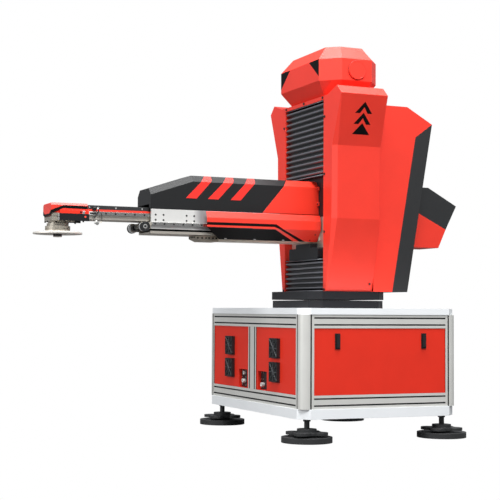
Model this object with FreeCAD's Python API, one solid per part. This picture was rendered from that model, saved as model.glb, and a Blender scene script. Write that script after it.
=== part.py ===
import FreeCAD, Part
import math
import os

V = FreeCAD.Vector
os.makedirs("parts", exist_ok=True)

# Frame: millimetres, +Z up, origin on the floor under the swing axis.
# The arm points to -X. The near side, with the latches, is -Y.

# Clearances
run_gap = 0.05
thread_gap = 0.1
soft_gap = 0.3
lift_off_gap = 0.5

# Levelling feet
foot_pad_radius = 150.0
foot_pad_height = 32.0
foot_plate_low = 44.0
foot_plate_high = 60.0
foot_lobe_radius = 50.0
foot_lobe_offset = 78.0
foot_collar_radius = 58.0
foot_collar_top = 78.0
foot_stud_radius = 16.0
foot_nut_radius = 22.0
foot_nut_height = 14.0
foot_inset = 67.0

# Cabinet
cabinet_x = 1050.0
cabinet_y = 1430.0
floor_gap = 135.0
bottom_plate_height = 58.0
frame_height = 550.0
top_plate_height = 38.0
plate_overhang = 5.0
plate_corner = 62.0
post_width = 80.0
post_rounding = 45.0
rail_height = 80.0
rail_depth = 40.0
slot_width = 9.0
slot_depth = 10.0
rail_slot_offset = 20.0
post_slot_offset = 60.0
divider_width = 120.0
divider_slot_offset = 38.0
panel_thickness = 20.0
panel_recess = 4.0

# Latches of the lift-off panel
latch_offset = 292.0
latch_drop = 76.0
latch_width = 33.0
latch_length = 92.0
latch_plate = 6.0
latch_lever_width = 22.0
latch_lever_length = 74.0
latch_lever_thickness = 7.0
latch_shaft_radius = 6.0
latch_cam_grip = 16.0
latch_cam_thickness = 5.0

# Filter fans and connector pockets
fan_offset = 348.0
fan_upper_z = 538.0
fan_lower_z = 394.0
fan_width = 120.0
fan_guard_proud = 16.0
fan_body_depth = 38.0
fan_bore = 55.0
fan_hub_radius = 22.0
fan_blade_radius = 51.0
fan_blade_count = 7
fan_shaft_radius = 5.0
guard_ring_width = 4.0
pocket_offset = 150.0
pocket_width = 140.0
pocket_height = 120.0
pocket_depth = 62.0
pocket_wall = 3.0
connector_radius = 17.0
connector_length = 34.0
connector_spacing = 52.0

# Drives inside the cabinet
drive_width = 90.0
drive_depth = 220.0
drive_height = 300.0
drive_pitch = 130.0
drive_count = 5
reducer_radius = 120.0
reducer_height = 130.0
swing_motor_width = 130.0
swing_motor_height = 170.0
swing_shaft_radius = 60.0
swing_shaft_depth = 60.0

# Slewing bearing and base plates
base_half_x = 264.0
base_half_y = 330.0
base_corner = 68.0
base_plate_height = 49.0
base_gap = 6.0
upper_plate_growth = 4.0
upper_plate_height = 51.0
bearing_outer_radius = 190.0
bearing_race_radius = 150.0
bearing_bore_radius = 105.0
bearing_floor = 9.0

# Column
column_front = 169.0
column_rear = 155.0
opening_half = 280.0
column_height = 1223.0
top_strip = 24.0
pillar_width = 100.0
pillar_front = 74.0
shell_wall = 4.0
shell_foot_half = 315.0
shell_waist_half = 390.0
shell_waist_rise = 448.0
shell_chest_half = 398.0
shell_chest_rise = 900.0
shell_chest_side = 24.0
shell_facet = 27.0
shell_shoulder_half = 520.0
shell_shoulder_drop = 15.0
shell_ridge_half = 460.0
shell_ridge_rise = 40.0
shell_flat_half = 335.0
screw_head_radius = 8.0
screw_head_height = 4.0
screw_pitch = 360.0

# Rear cover of the column
rear_half = 340.0
rear_foot_x = 399.0
rear_crown_x = 583.0
rear_crown_drop = 142.0
rear_top_drop = 40.0
tail_slot_side_gap = 10.0
tail_slot_end_gap = 11.0

# Head
head_front = 203.0
head_front_half = 279.0
head_side_half = 375.0
head_side_front = 90.0
head_side_rear = 120.0
head_top_front = 135.0
head_top_front_half = 237.0
head_top_side_half = 297.0
head_top_side_front = 62.0
head_waist_rise = 93.0
head_shoulder_rise = 230.0
head_height = 317.0
head_boss_radius = 60.0
head_boss_depth = 10.0
head_boss_x = 15.0
head_boss_rise = 161.0

# Lift drive
lift_rail_width = 34.0
lift_rail_height = 17.5
lift_rail_offset = 230.0
lift_up = 200.0
lift_down = 100.0
guide_block_side = 18.0
guide_block_length = 90.0
lift_screw_x = 40.0
lift_screw_y = 140.0
lift_screw_radius = 16.0
lift_journal_radius = 12.0
lift_bearing_height = 30.0
lift_motor_width = 100.0
lift_motor_height = 230.0
lift_motor_flange = 50.0
lift_nut_height = 50.0
lift_nut_rise = 60.0

# Bellows
bellows_front = 165.0
bellows_half = 276.0
bellows_upper_pleats = 12
bellows_lower_pleats = 5
bellows_pleat_depth = 24.0
bellows_skin = 4.0
bellows_end = 6.0

# Carriage
carriage_front = 122.0
carriage_plate_thickness = 18.0
carriage_half = 270.0
lower_carriage_height = 268.0
upper_carriage_height = 252.0
bracket_thickness = 50.0
bracket_wide_half = 208.0
bracket_step = 27.0
bracket_height = 100.0
bracket_narrow_half = 106.0
bracket_rounding = 14.0

# Fixed part of the arm
arm_level = 1264.0
beam_drop = 72.0
beam_height = 12.0
beam_front = 785.0
carrier_length = 150.0
carrier_bevel = 40.0
carrier_half = 60.0
carrier_drop = 4.0
carrier_height = 34.0
spine_half = 60.0
spine_clearance = 18.0
spine_height = 160.0
spine_wall = 6.0
spine_setback = 250.0
tail_beam_half = 90.0
tail_beam_rise = 66.0
tail_beam_height = 230.0
tail_half = 120.0
tail_wall = 3.0
tail_front = 300.0
tail_flat_x = 689.0
tail_tip_x = 905.0
tail_notch_x = 824.0
tail_heel_x = 767.0
tail_headroom = 24.0
tail_tip_drop = 116.0
tail_drop = 78.0
tail_notch_rise = 124.0
cover_half = 122.0
cover_wall = 3.0
cover_gap = 2.0
cover_bevel = 40.0
cover_headroom = 28.0
cover_front = 1250.0
cover_front_drop = 90.0
cover_slope_length = 271.0
seam_low_x = 513.0
seam_high_x = 331.0
seam_gap = 1.0
notch_half = 96.0
notch_clearance = 19.0
lower_cover_front = 880.0
lower_cover_heel_run = 95.0
lower_cover_rear = 130.0
lower_cover_half = 172.0
lower_cover_wall = 3.0
lower_cover_gap = 7.0
lower_cover_top_half = 157.0
lower_cover_rake = 39.0
lower_cover_band = 56.0
lower_cover_belly = 71.0
lower_cover_low_half = 117.0

# Middle stage of the arm
stage_stroke = 230.0
mid_length = 850.0
mid_rear = 395.0
mid_plate_inner = 110.0
mid_plate_thickness = 12.0
mid_plate_drop = 12.0
mid_plate_height = 120.0
mid_rail_rise = 7.0
mid_rail_width = 20.0
mid_rail_depth = 15.0
mid_beam_gap = 2.0
mid_beam_floor = 10.0
mid_beam_wall = 12.0
t_slot_rise = 16.0
t_slot_width = 9.0
t_slot_depth = 5.0
arm_block_setback = 30.0
arm_block_pitch = 330.0
arm_block_length = 66.0
arm_block_reach = 30.0
frame_wall_outer = 158.0
frame_wall_height = 88.0
frame_foot_width = 74.0
frame_foot_height = 7.0

# Belt and screw drive of the arm
belt_thickness = 2.0
belt_width = 10.0
pulley_radius = 20.0
pulley_shaft_radius = 8.0
front_pulley_reach = 40.0
rear_pulley_setback = 45.0
wheel_radius = 30.0
wheel_width = 22.0
wheel_offset = 120.0
clamp_half = 8.0
clamp_length = 40.0
clamp_pitch = 480.0
front_clamp_setback = 65.0
arm_screw_y = 50.0
arm_screw_radius = 12.0
arm_shaft_radius = 9.0
arm_screw_tip = 35.0
arm_screw_rear = 130.0
arm_nut_setback = 50.0
arm_nut_length = 50.0
arm_motor_front = 560.0
arm_motor_length = 190.0
arm_motor_width = 86.0

# Front stage of the arm
front_length = 715.0
front_rear = 930.0
front_half = 80.0
front_beam_gap = 7.0
front_beam_height = 48.0
front_rail_rise = 25.0
front_rail_width = 20.0
front_rail_depth = 17.0
front_rail_setback = 45.0
front_block_setback = 40.0
front_block_pitch = 230.0
cable_cover_half = 82.0
cable_cover_height = 36.0
cable_cover_setback = 15.0

# Wrist
wrist_reach = 142.0
gearbox_half = 85.0
gearbox_flange_radius = 58.0
gearbox_step = 12.0
gearbox_rise = 7.0
gearbox_height = 60.0
wrist_plate_reach = 59.0
cheek_inner = 86.0
cheek_outer = 96.0
cheek_reach = 13.0
cheek_overlap = 23.0
cheek_rise = 14.0
nose_gap = 6.0
nose_overlap = 15.0
nose_half = 91.0
nose_wall = 2.5
nose_headroom = 59.0
nose_slope = 8.0
nose_drop = 4.0
nose_edge = 14.0
nose_shield_drop = 19.0
nose_side_height = 44.0
nose_front_height = 52.0
wrist_motor_radius = 36.0
wrist_motor_height = 16.0
wrist_shaft_radius = 30.0
neck_radius = 64.5
neck_height = 16.0
collar_radius = 74.0
collar_height = 31.0
disc_radius = 145.5
disc_pad_height = 1.0
disc_thickness = 14.0
disc_rim = 5.0
pilot_radius = 25.5
pilot_height = 17.0
tool_circle_radius = 110.0
tool_hole_radius = 4.5
tool_hole_count = 8

# Wrist cables
cable_gap = 0.3
black_cable_radius = 3.5
pale_cable_radius = 2.0

# Heights that follow from the floor up
z_plate = floor_gap
z_frame = z_plate + bottom_plate_height
z_frame_top = z_frame + frame_height
z_deck = z_frame_top + top_plate_height
z_lower_top = z_deck + base_plate_height
z_upper = z_lower_top + base_gap
z_column = z_upper + upper_plate_height
z_column_top = z_column + column_height
z_opening_top = z_column_top - top_strip
shell_waist_z = z_column + shell_waist_rise
shell_chest_z = z_column + shell_chest_rise
shell_shoulder_z = z_column_top - shell_shoulder_drop
shell_ridge_z = z_column_top + shell_ridge_rise
rear_crown_z = z_column_top - rear_crown_drop
rear_top_z = z_column_top - rear_top_drop
head_waist_z = z_column_top + head_waist_rise
head_shoulder_z = z_column_top + head_shoulder_rise
head_top_z = z_column_top + head_height
head_boss_z = z_column_top + head_boss_rise
drive_z = arm_level
beam_low = arm_level - beam_drop
beam_high = beam_low + beam_height
carrier_low = beam_low - carrier_drop
carrier_high = carrier_low + carrier_height
carriage_low = beam_low - bracket_height
carriage_joint = carriage_low + lower_carriage_height
carriage_high = carriage_joint + upper_carriage_height
bracket_wide_top = beam_low - bracket_step
lift_nut_low = carriage_joint + lift_nut_rise
mid_plate_low = arm_level - mid_plate_drop
mid_plate_high = mid_plate_low + mid_plate_height
mid_rail_low = arm_level + mid_rail_rise
mid_rail_high = mid_rail_low + mid_rail_width
mid_beam_low = carrier_high + mid_beam_gap
mid_beam_high = mid_rail_high
t_slot_low = mid_beam_low + t_slot_rise
t_slot_high = t_slot_low + t_slot_width
front_low = mid_beam_high + front_beam_gap
front_high = front_low + front_beam_height
front_rail_low = front_low + front_rail_rise
front_rail_high = front_rail_low + front_rail_width
cable_cover_top = front_high + cable_cover_height
notch_top = cable_cover_top + notch_clearance
spine_low = cable_cover_top + spine_clearance
spine_high = spine_low + spine_height
cover_low = mid_plate_high + cover_gap
cover_top = spine_high + cover_headroom
cover_side_top = cover_top - cover_bevel
lower_cover_top = cover_low - lower_cover_gap
lower_cover_shoulder = lower_cover_top - lower_cover_rake
lower_cover_waist = lower_cover_shoulder - lower_cover_band
lower_cover_low = lower_cover_waist - lower_cover_belly
tail_beam_low = arm_level + tail_beam_rise
tail_beam_high = tail_beam_low + tail_beam_height
tail_top = tail_beam_high + tail_headroom
tail_tip_z = tail_top - tail_tip_drop
tail_low = arm_level - tail_drop
tail_notch_z = tail_low + tail_notch_rise
tail_slot_half = tail_half + tail_slot_side_gap
tail_slot_low = tail_low - lift_down - tail_slot_end_gap
tail_slot_high = tail_top + lift_up + tail_slot_end_gap
gearbox_low = arm_level + gearbox_rise
gearbox_high = gearbox_low + gearbox_height
cheek_low = gearbox_low + cheek_rise
nose_top = gearbox_high + nose_headroom
nose_side_low = nose_top - nose_side_height
nose_front_low = nose_top - nose_front_height
neck_low = gearbox_low - neck_height
collar_low = neck_low - collar_height
disc_high = collar_low - disc_pad_height
disc_low = disc_high - disc_thickness
pilot_low = disc_low - pilot_height

# Reaches along the arm that follow
carrier_front = beam_front + carrier_length
cover_slope_x = cover_front - cover_slope_length
spine_front = cover_front - spine_setback
tail_beam_rear = tail_flat_x
lower_cover_heel = lower_cover_front - lower_cover_heel_run
mid_front = mid_rear + mid_length
arm_block_front_x = lower_cover_front - arm_block_setback
arm_block_rear_x = arm_block_front_x - arm_block_pitch
front_pulley_x = mid_front + front_pulley_reach
rear_pulley_x = mid_rear + rear_pulley_setback
front_clamp_x = mid_front - front_clamp_setback
base_clamp_x = front_clamp_x - clamp_pitch
arm_nut_x = mid_rear + arm_nut_setback
arm_screw_front = arm_nut_x + arm_screw_tip
front_front = front_rear + front_length
front_rail_front = front_front - front_rail_setback
front_block_x = mid_front - front_block_setback
cable_cover_front = front_front - cable_cover_setback
wrist_x = front_front + wrist_reach
wrist_plate_front = wrist_x + wrist_plate_reach
cheek_front = wrist_x + cheek_reach
cheek_rear = front_front - cheek_overlap
nose_front = wrist_plate_front + nose_gap
nose_rear = front_front - nose_overlap
half_x = cabinet_x / 2
half_y = cabinet_y / 2


def box(x0, x1, y0, y1, z0, z1):
    corner = V(min(x0, x1), min(y0, y1), min(z0, z1))
    return Part.makeBox(abs(x1 - x0), abs(y1 - y0), abs(z1 - z0), corner)


def rod(radius, start, axis, length):
    return Part.makeCylinder(radius, length, V(*start), V(*axis))


def ring(outer, inner, start, axis, length):
    return rod(outer, start, axis, length).cut(rod(inner, start, axis, length))


def wire(corners):
    return Part.makePolygon(corners + [corners[0]])


def slab_z(points, low, high):
    face = Part.Face(wire([V(x, y, low) for x, y in points]))
    return face.extrude(V(0, 0, high - low))


def slab_y(points, start, end):
    face = Part.Face(wire([V(x, start, z) for x, z in points]))
    return face.extrude(V(0, end - start, 0))


def slab_x(points, start, end):
    face = Part.Face(wire([V(start, y, z) for y, z in points]))
    return face.extrude(V(end - start, 0, 0))


def stack(sections):
    return Part.makeLoft([wire(section) for section in sections], True, True)


def flip(shape):
    return shape.mirror(V(0, 0, 0), V(0, 1, 0))


def pair(shape):
    return [shape, flip(shape)]


def fuse(shapes):
    joined = shapes[0]
    for shape in shapes[1:]:
        joined = joined.fuse(shape)
    return joined.removeSplitter()


def octagon(x_half, y_half, corner):
    return [(x_half, y_half - corner), (x_half - corner, y_half), (corner - x_half, y_half),
            (-x_half, y_half - corner), (-x_half, corner - y_half), (corner - x_half, -y_half),
            (x_half - corner, -y_half), (x_half, corner - y_half)]


def tube(points, radius):
    path = []
    corners = [V(*point) for point in points]
    last = corners[0]
    for index in range(1, len(corners) - 1):
        back = corners[index - 1] - corners[index]
        ahead = corners[index + 1] - corners[index]
        shorter = min(back.Length, ahead.Length)
        turn = math.pi - back.getAngle(ahead)
        trim = 0.45 * shorter
        bend = trim / math.tan(turn / 2)
        back.normalize()
        ahead.normalize()
        enter = corners[index] + back * trim
        leave = corners[index] + ahead * trim
        middle = (back + ahead).normalize()
        reach = math.hypot(bend, trim) - bend
        path.append(Part.makeLine(last, enter))
        path.append(Part.Arc(enter, corners[index] + middle * reach, leave).toShape())
        last = leave
    path.append(Part.makeLine(last, corners[-1]))
    spine = Part.Wire(path)
    start = Part.Wire(Part.makeCircle(radius, corners[0], corners[1] - corners[0]))
    return spine.makePipeShell([start], True, True)


def write(node, shapes):
    solids = []
    for shape in shapes:
        solids.extend(shape.Solids)
    whole = solids[0] if len(solids) == 1 else Part.makeCompound(solids)
    whole.exportStep("parts/" + node + ".step")
    print(node, len(solids), round(whole.Volume / 1000), "cm3", whole.isValid())


# Levelling feet
foot_spots = [(x * (half_x - foot_inset), y * (half_y - foot_inset)) for x in (-1, 1) for y in (-1, 1)]
foot_solids = []
for foot_x, foot_y in foot_spots:
    pad = rod(foot_pad_radius, (foot_x, foot_y, 0), (0, 0, 1), foot_pad_height)
    neck = rod(foot_collar_radius, (foot_x, foot_y, 0), (0, 0, 1), foot_collar_top)
    lobes = [rod(foot_pad_radius * 0.6, (foot_x, foot_y, foot_plate_low), (0, 0, 1), foot_plate_high - foot_plate_low)]
    for step in range(4):
        angle = math.radians(45 + 90 * step)
        lobe_x = foot_x + foot_lobe_offset * math.cos(angle)
        lobe_y = foot_y + foot_lobe_offset * math.sin(angle)
        lobes.append(rod(foot_lobe_radius, (lobe_x, lobe_y, foot_plate_low), (0, 0, 1), foot_plate_high - foot_plate_low))
    foot_solids.append(fuse([pad, neck] + lobes))
    stud = rod(foot_stud_radius, (foot_x, foot_y, foot_collar_top), (0, 0, 1), z_frame - foot_collar_top - 10)
    nut = rod(foot_nut_radius, (foot_x, foot_y, z_plate - foot_nut_height), (0, 0, 1), foot_nut_height)
    foot_solids.append(fuse([stud, nut]))
write("levelling_feet", foot_solids)

# Cabinet plates
plate_outline = octagon(half_x + plate_overhang, half_y + plate_overhang, plate_corner)
bottom_plate = slab_z(plate_outline, z_plate, z_frame)
for foot_x, foot_y in foot_spots:
    hole = rod(foot_stud_radius + thread_gap, (foot_x, foot_y, z_plate), (0, 0, 1), bottom_plate_height - 8)
    bottom_plate = bottom_plate.cut(hole)
top_plate = slab_z(plate_outline, z_frame_top, z_deck)
top_plate = top_plate.cut(rod(swing_shaft_radius + 10, (0, 0, z_frame_top), (0, 0, 1), top_plate_height))
write("cabinet_plates", [bottom_plate, top_plate])

# Cabinet frame of slotted posts and rails
corner_post = box(half_x - post_width, half_x, half_y - post_width, half_y, z_frame, z_frame_top)
outer_edge = [edge for edge in corner_post.Edges
              if abs(edge.CenterOfMass.x - half_x) < 1 and abs(edge.CenterOfMass.y - half_y) < 1]
corner_post = corner_post.makeFillet(post_rounding, outer_edge)
slot_x = half_x - post_slot_offset
slot_y = half_y - post_slot_offset
corner_post = corner_post.cut(box(slot_x - slot_width / 2, slot_x + slot_width / 2,
                                  half_y - slot_depth, half_y, z_frame, z_frame_top))
corner_post = corner_post.cut(box(half_x - slot_depth, half_x,
                                  slot_y - slot_width / 2, slot_y + slot_width / 2, z_frame, z_frame_top))
corner_post = corner_post.cut(rod(slot_width, (half_x - post_width / 2, half_y - post_width / 2, z_frame),
                                  (0, 0, 1), frame_height))
frame_solids = []
for post in pair(corner_post):
    frame_solids.append(post)
    frame_solids.append(post.mirror(V(0, 0, 0), V(1, 0, 0)))
inner_x = half_x - post_width
inner_y = half_y - post_width
rail_bottoms = [z_frame, z_frame_top - rail_height]
for low in rail_bottoms:
    long_rail = box(half_x - rail_depth, half_x, -inner_y, inner_y, low, low + rail_height)
    cross_rail = box(-inner_x, inner_x, half_y - rail_depth, half_y, low, low + rail_height)
    for offset in (rail_slot_offset, rail_height - rail_slot_offset):
        slot_low = low + offset - slot_width / 2
        long_rail = long_rail.cut(box(half_x - slot_depth, half_x, -inner_y, inner_y, slot_low, slot_low + slot_width))
        cross_rail = cross_rail.cut(box(-inner_x, inner_x, half_y - slot_depth, half_y, slot_low, slot_low + slot_width))
    frame_solids.append(long_rail)
    frame_solids.append(long_rail.mirror(V(0, 0, 0), V(1, 0, 0)))
    frame_solids.extend(pair(cross_rail))
panel_low = z_frame + rail_height
panel_high = z_frame_top - rail_height
divider = box(half_x - rail_depth, half_x, -divider_width / 2, divider_width / 2, panel_low, panel_high)
for side in (-1, 1):
    slot_middle = side * divider_slot_offset
    divider = divider.cut(box(half_x - slot_depth, half_x, slot_middle - slot_width / 2,
                              slot_middle + slot_width / 2, panel_low, panel_high))
frame_solids.append(divider)
frame_solids.append(divider.mirror(V(0, 0, 0), V(1, 0, 0)))
write("cabinet_frame", frame_solids)

# Lift-off panel with its two latches
panel_face_y = half_y - panel_recess
latch_panel = box(-inner_x, inner_x, -panel_face_y, panel_thickness - panel_face_y, panel_low, panel_high)
latch_face_y = panel_face_y + latch_plate
latch_height_z = panel_high - latch_drop
for side in (-1, 1):
    latch_x = side * latch_offset
    base = box(latch_x - latch_width / 2, latch_x + latch_width / 2, -latch_face_y, -panel_face_y,
               latch_height_z - latch_length / 2, latch_height_z + latch_length / 2)
    latch_panel = latch_panel.fuse(base)
latch_panel = latch_panel.removeSplitter()
for side in (-1, 1):
    latch_x = side * latch_offset
    latch_panel = latch_panel.cut(rod(latch_shaft_radius + run_gap, (latch_x, -latch_face_y, latch_height_z),
                                      (0, 1, 0), latch_plate + panel_thickness))
write("latch_panel", [latch_panel])

cam_y = half_y - rail_depth - lift_off_gap
for side, node in ((-1, "latch_lever_left"), (1, "latch_lever_right")):
    latch_x = side * latch_offset
    grip_y = latch_face_y + lift_off_gap
    grip = box(latch_x - latch_lever_width / 2, latch_x + latch_lever_width / 2,
               -grip_y - latch_lever_thickness, -grip_y,
               latch_height_z - latch_lever_length / 2, latch_height_z + latch_lever_length / 2)
    shaft = rod(latch_shaft_radius, (latch_x, -grip_y, latch_height_z), (0, 1, 0), grip_y - cam_y)
    cam = box(latch_x - latch_shaft_radius * 1.5, latch_x + latch_shaft_radius * 1.5,
              -cam_y, latch_cam_thickness - cam_y,
              latch_height_z - latch_shaft_radius * 2, panel_high + latch_cam_grip)
    write(node, [fuse([grip, shaft, cam])])

# Plain panels on the other two sides
far_panel = box(-inner_x, inner_x, panel_face_y - panel_thickness, panel_face_y, panel_low, panel_high)
panel_face_x = half_x - panel_recess
rear_panel = box(panel_face_x - panel_thickness, panel_face_x, divider_width / 2, inner_y, panel_low, panel_high)
write("plain_panels", [far_panel] + pair(rear_panel))

# Fan panels, each with a folded connector pocket
fan_panel = box(-panel_face_x, panel_thickness - panel_face_x, divider_width / 2, inner_y, panel_low, panel_high)
for fan_z in (fan_upper_z, fan_lower_z):
    fan_panel = fan_panel.cut(rod(fan_bore, (-panel_face_x, fan_offset, fan_z), (1, 0, 0), panel_thickness))
pocket_y0 = pocket_offset - pocket_width / 2
pocket_y1 = pocket_offset + pocket_width / 2
pocket_inner_x = pocket_depth - panel_face_x
fan_panel = fan_panel.cut(box(-panel_face_x, panel_thickness - panel_face_x, pocket_y0, pocket_y1,
                              panel_low, panel_low + pocket_height))
pocket = box(-panel_face_x, pocket_inner_x, pocket_y0, pocket_y1, panel_low, panel_low + pocket_height)
pocket = pocket.cut(box(-panel_face_x, pocket_inner_x - pocket_wall, pocket_y0 + pocket_wall,
                        pocket_y1 - pocket_wall, panel_low + pocket_wall,
                        panel_low + pocket_height - pocket_wall))
fan_panel = fan_panel.fuse(pocket).removeSplitter()
write("fan_panels", pair(fan_panel))

connector_solids = []
for step in (-1, 1):
    connector_z = panel_low + pocket_height / 2 + step * connector_spacing / 2
    connector_x = pocket_inner_x - pocket_wall - connector_length
    connector = rod(connector_radius, (connector_x, pocket_offset, connector_z), (1, 0, 0), connector_length)
    bore = rod(connector_radius * 0.7, (connector_x, pocket_offset, connector_z), (1, 0, 0), connector_length * 0.4)
    connector_solids.extend(pair(connector.cut(bore)))
write("connectors", connector_solids)

# Filter fans: one housing per opening, rotors behind the upper two
guard_x = -panel_face_x - fan_guard_proud
body_x = panel_thickness - panel_face_x
fan_solids = []
for fan_z, has_rotor in ((fan_upper_z, True), (fan_lower_z, False)):
    guard = box(guard_x, -panel_face_x, fan_offset - fan_width / 2, fan_offset + fan_width / 2,
                fan_z - fan_width / 2, fan_z + fan_width / 2)
    sleeve = rod(fan_bore, (-panel_face_x, fan_offset, fan_z), (1, 0, 0), panel_thickness)
    body = box(body_x, body_x + fan_body_depth, fan_offset - fan_width / 2, fan_offset + fan_width / 2,
               fan_z - fan_width / 2, fan_z + fan_width / 2)
    housing = fuse([guard, sleeve, body])
    tunnel = rod(fan_bore - 2, (guard_x, fan_offset, fan_z), (1, 0, 0), body_x + fan_body_depth - guard_x)
    housing = housing.cut(tunnel)
    bars = []
    for radius in (fan_bore - 10, fan_bore - 24):
        bars.append(ring(radius, radius - guard_ring_width, (guard_x, fan_offset, fan_z), (1, 0, 0), guard_ring_width))
    bars.append(rod(fan_hub_radius, (guard_x, fan_offset, fan_z), (1, 0, 0), guard_ring_width))
    for turn in (45, -45):
        bar = box(guard_x, guard_x + guard_ring_width, fan_offset - fan_bore + 1, fan_offset + fan_bore - 1,
                  fan_z - guard_ring_width / 2, fan_z + guard_ring_width / 2)
        bars.append(bar.rotate(V(guard_x, fan_offset, fan_z), V(1, 0, 0), turn))
        rear = bars[-1].translated(V(body_x + fan_body_depth - guard_x - guard_ring_width, 0, 0))
        bars.append(rear)
    bars.append(rod(fan_hub_radius, (body_x + fan_body_depth - guard_ring_width, fan_offset, fan_z), (1, 0, 0),
                    guard_ring_width))
    housing = fuse([housing] + bars)
    if has_rotor:
        axle_x = body_x + fan_body_depth - guard_ring_width
        housing = housing.fuse(rod(fan_shaft_radius, (body_x + 6, fan_offset, fan_z), (1, 0, 0), axle_x - body_x - 6))
        housing = housing.removeSplitter()
    fan_solids.extend(pair(housing))
write("fan_housings", fan_solids)

for side, node in ((-1, "fan_rotor_near"), (1, "fan_rotor_far")):
    rotor_x = body_x + 4
    rotor_length = fan_body_depth - guard_ring_width - 8
    centre = (rotor_x, side * fan_offset, fan_upper_z)
    rotor = rod(fan_hub_radius, centre, (1, 0, 0), rotor_length)
    blades = [rotor]
    for step in range(fan_blade_count):
        blade = box(rotor_x + 3, rotor_x + rotor_length - 3, centre[1] - 1, centre[1] + 1,
                    fan_upper_z + fan_hub_radius - 3, fan_upper_z + fan_blade_radius - 1)
        blade = blade.rotate(V(rotor_x + rotor_length / 2, centre[1], fan_upper_z), V(0, 0, 1), 35)
        blade = blade.rotate(V(*centre), V(1, 0, 0), 360 / fan_blade_count * step)
        blades.append(blade)
    rotor = fuse(blades)
    rotor = rotor.cut(rod(fan_shaft_radius + run_gap, centre, (1, 0, 0), rotor_length))
    write(node, [rotor])

# Servo drives on the bottom plate
drive_solids = []
for step in range(drive_count):
    drive_y = (step - (drive_count - 1) / 2) * drive_pitch
    drive_x = half_x - rail_depth - drive_depth - 30
    body = box(drive_x, drive_x + drive_depth, drive_y - drive_width / 2, drive_y + drive_width / 2,
               z_frame, z_frame + drive_height)
    drive_solids.append(body)
write("servo_drives", drive_solids)

# Swing gear motor under the top plate
gear = rod(reducer_radius, (0, 0, z_frame_top - reducer_height), (0, 0, 1), reducer_height)
motor = box(-swing_motor_width / 2, swing_motor_width / 2, -swing_motor_width / 2, swing_motor_width / 2,
            z_frame_top - reducer_height - swing_motor_height, z_frame_top - reducer_height)
gear = fuse([gear, motor])
gear = gear.cut(rod(swing_shaft_radius + run_gap, (0, 0, z_frame_top - swing_shaft_depth - 1), (0, 0, 1),
                    swing_shaft_depth + 1))
write("swing_gearmotor", [gear])

# Lower base plate and slewing bearing
lower_plate = slab_z(octagon(base_half_x, base_half_y, base_corner), z_deck, z_lower_top)
bearing_low = z_deck + bearing_floor
lower_plate = lower_plate.cut(rod(bearing_outer_radius, (0, 0, bearing_low), (0, 0, 1), base_plate_height))
lower_plate = lower_plate.cut(rod(bearing_bore_radius, (0, 0, z_deck), (0, 0, 1), base_plate_height))
write("base_plate_lower", [lower_plate])
outer_ring = ring(bearing_outer_radius, bearing_race_radius + run_gap, (0, 0, bearing_low), (0, 0, 1),
                  z_lower_top - bearing_low)
write("bearing_outer_ring", [outer_ring])
hub = ring(bearing_race_radius, bearing_bore_radius, (0, 0, bearing_low + base_gap), (0, 0, 1),
           z_upper - bearing_low - base_gap)
hub_plate = rod(bearing_bore_radius, (0, 0, z_upper - 20), (0, 0, 1), 20)
shaft = rod(swing_shaft_radius, (0, 0, z_frame_top - swing_shaft_depth), (0, 0, 1),
            z_upper - z_frame_top + swing_shaft_depth)
write("swing_hub", [fuse([hub, hub_plate, shaft])])

# Upper base plate with the lower bearing of the lift screw
upper_plate = slab_z(octagon(base_half_x + upper_plate_growth, base_half_y + upper_plate_growth, base_corner),
                     z_upper, z_column)
bearing_foot = box(-lift_screw_x - 35, 35 - lift_screw_x, lift_screw_y - 35, lift_screw_y + 35,
                   z_column, z_column + lift_bearing_height)
upper_plate = fuse([upper_plate, bearing_foot])
upper_plate = upper_plate.cut(rod(lift_journal_radius + run_gap, (-lift_screw_x, lift_screw_y, z_column), (0, 0, 1),
                                  lift_bearing_height))
write("base_plate_upper", [upper_plate])

# Column pillars, rails and top plate
pillar_x0 = -pillar_front
pillar_x1 = pillar_x0 + pillar_width
pillar = box(pillar_x0, pillar_x1, opening_half - pillar_width, opening_half, z_column, z_opening_top)
pillar = pillar.cut(box(pillar_x0 + 12, pillar_x1 - 12, opening_half - pillar_width + 12, opening_half - 12,
                        z_column, z_opening_top))
write("column_pillars", pair(pillar))
rail_x0 = pillar_x0 - lift_rail_height
lift_rail = box(rail_x0, pillar_x0, lift_rail_offset - lift_rail_width / 2, lift_rail_offset + lift_rail_width / 2,
                z_column + 13, z_opening_top - 11)
write("lift_rails", pair(lift_rail))
top_cap = box(-column_front, column_rear, -opening_half, opening_half, z_opening_top, z_column_top)
top_cap = top_cap.cut(rod(lift_journal_radius + run_gap, (-lift_screw_x, lift_screw_y, z_opening_top), (0, 0, 1),
                          top_strip))
write("column_top_plate", [top_cap])


# Side shells: a tapering hollow housing with a folded front edge
def shell_section(level, front_half, side_step, facet, inset):
    return [V(-column_front + inset, opening_half + inset, level),
            V(-column_front + inset, front_half - inset, level),
            V(-column_front + inset + facet, front_half + side_step - inset, level),
            V(column_rear - inset, front_half + side_step - inset, level),
            V(column_rear - inset, opening_half + inset, level)]


def shell_body(inset):
    shoulder = shell_shoulder_half
    return stack([
        shell_section(z_column, shell_foot_half, 6, 8, inset),
        shell_section(shell_waist_z, shell_waist_half, shell_facet, shell_facet, inset),
        shell_section(shell_chest_z, shell_chest_half, shell_chest_side, shell_facet, inset),
        shell_section(shell_shoulder_z, shoulder - 2, 2, 4, inset),
        shell_section(shell_ridge_z, shoulder - 2, 2, 4, inset)])


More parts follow.
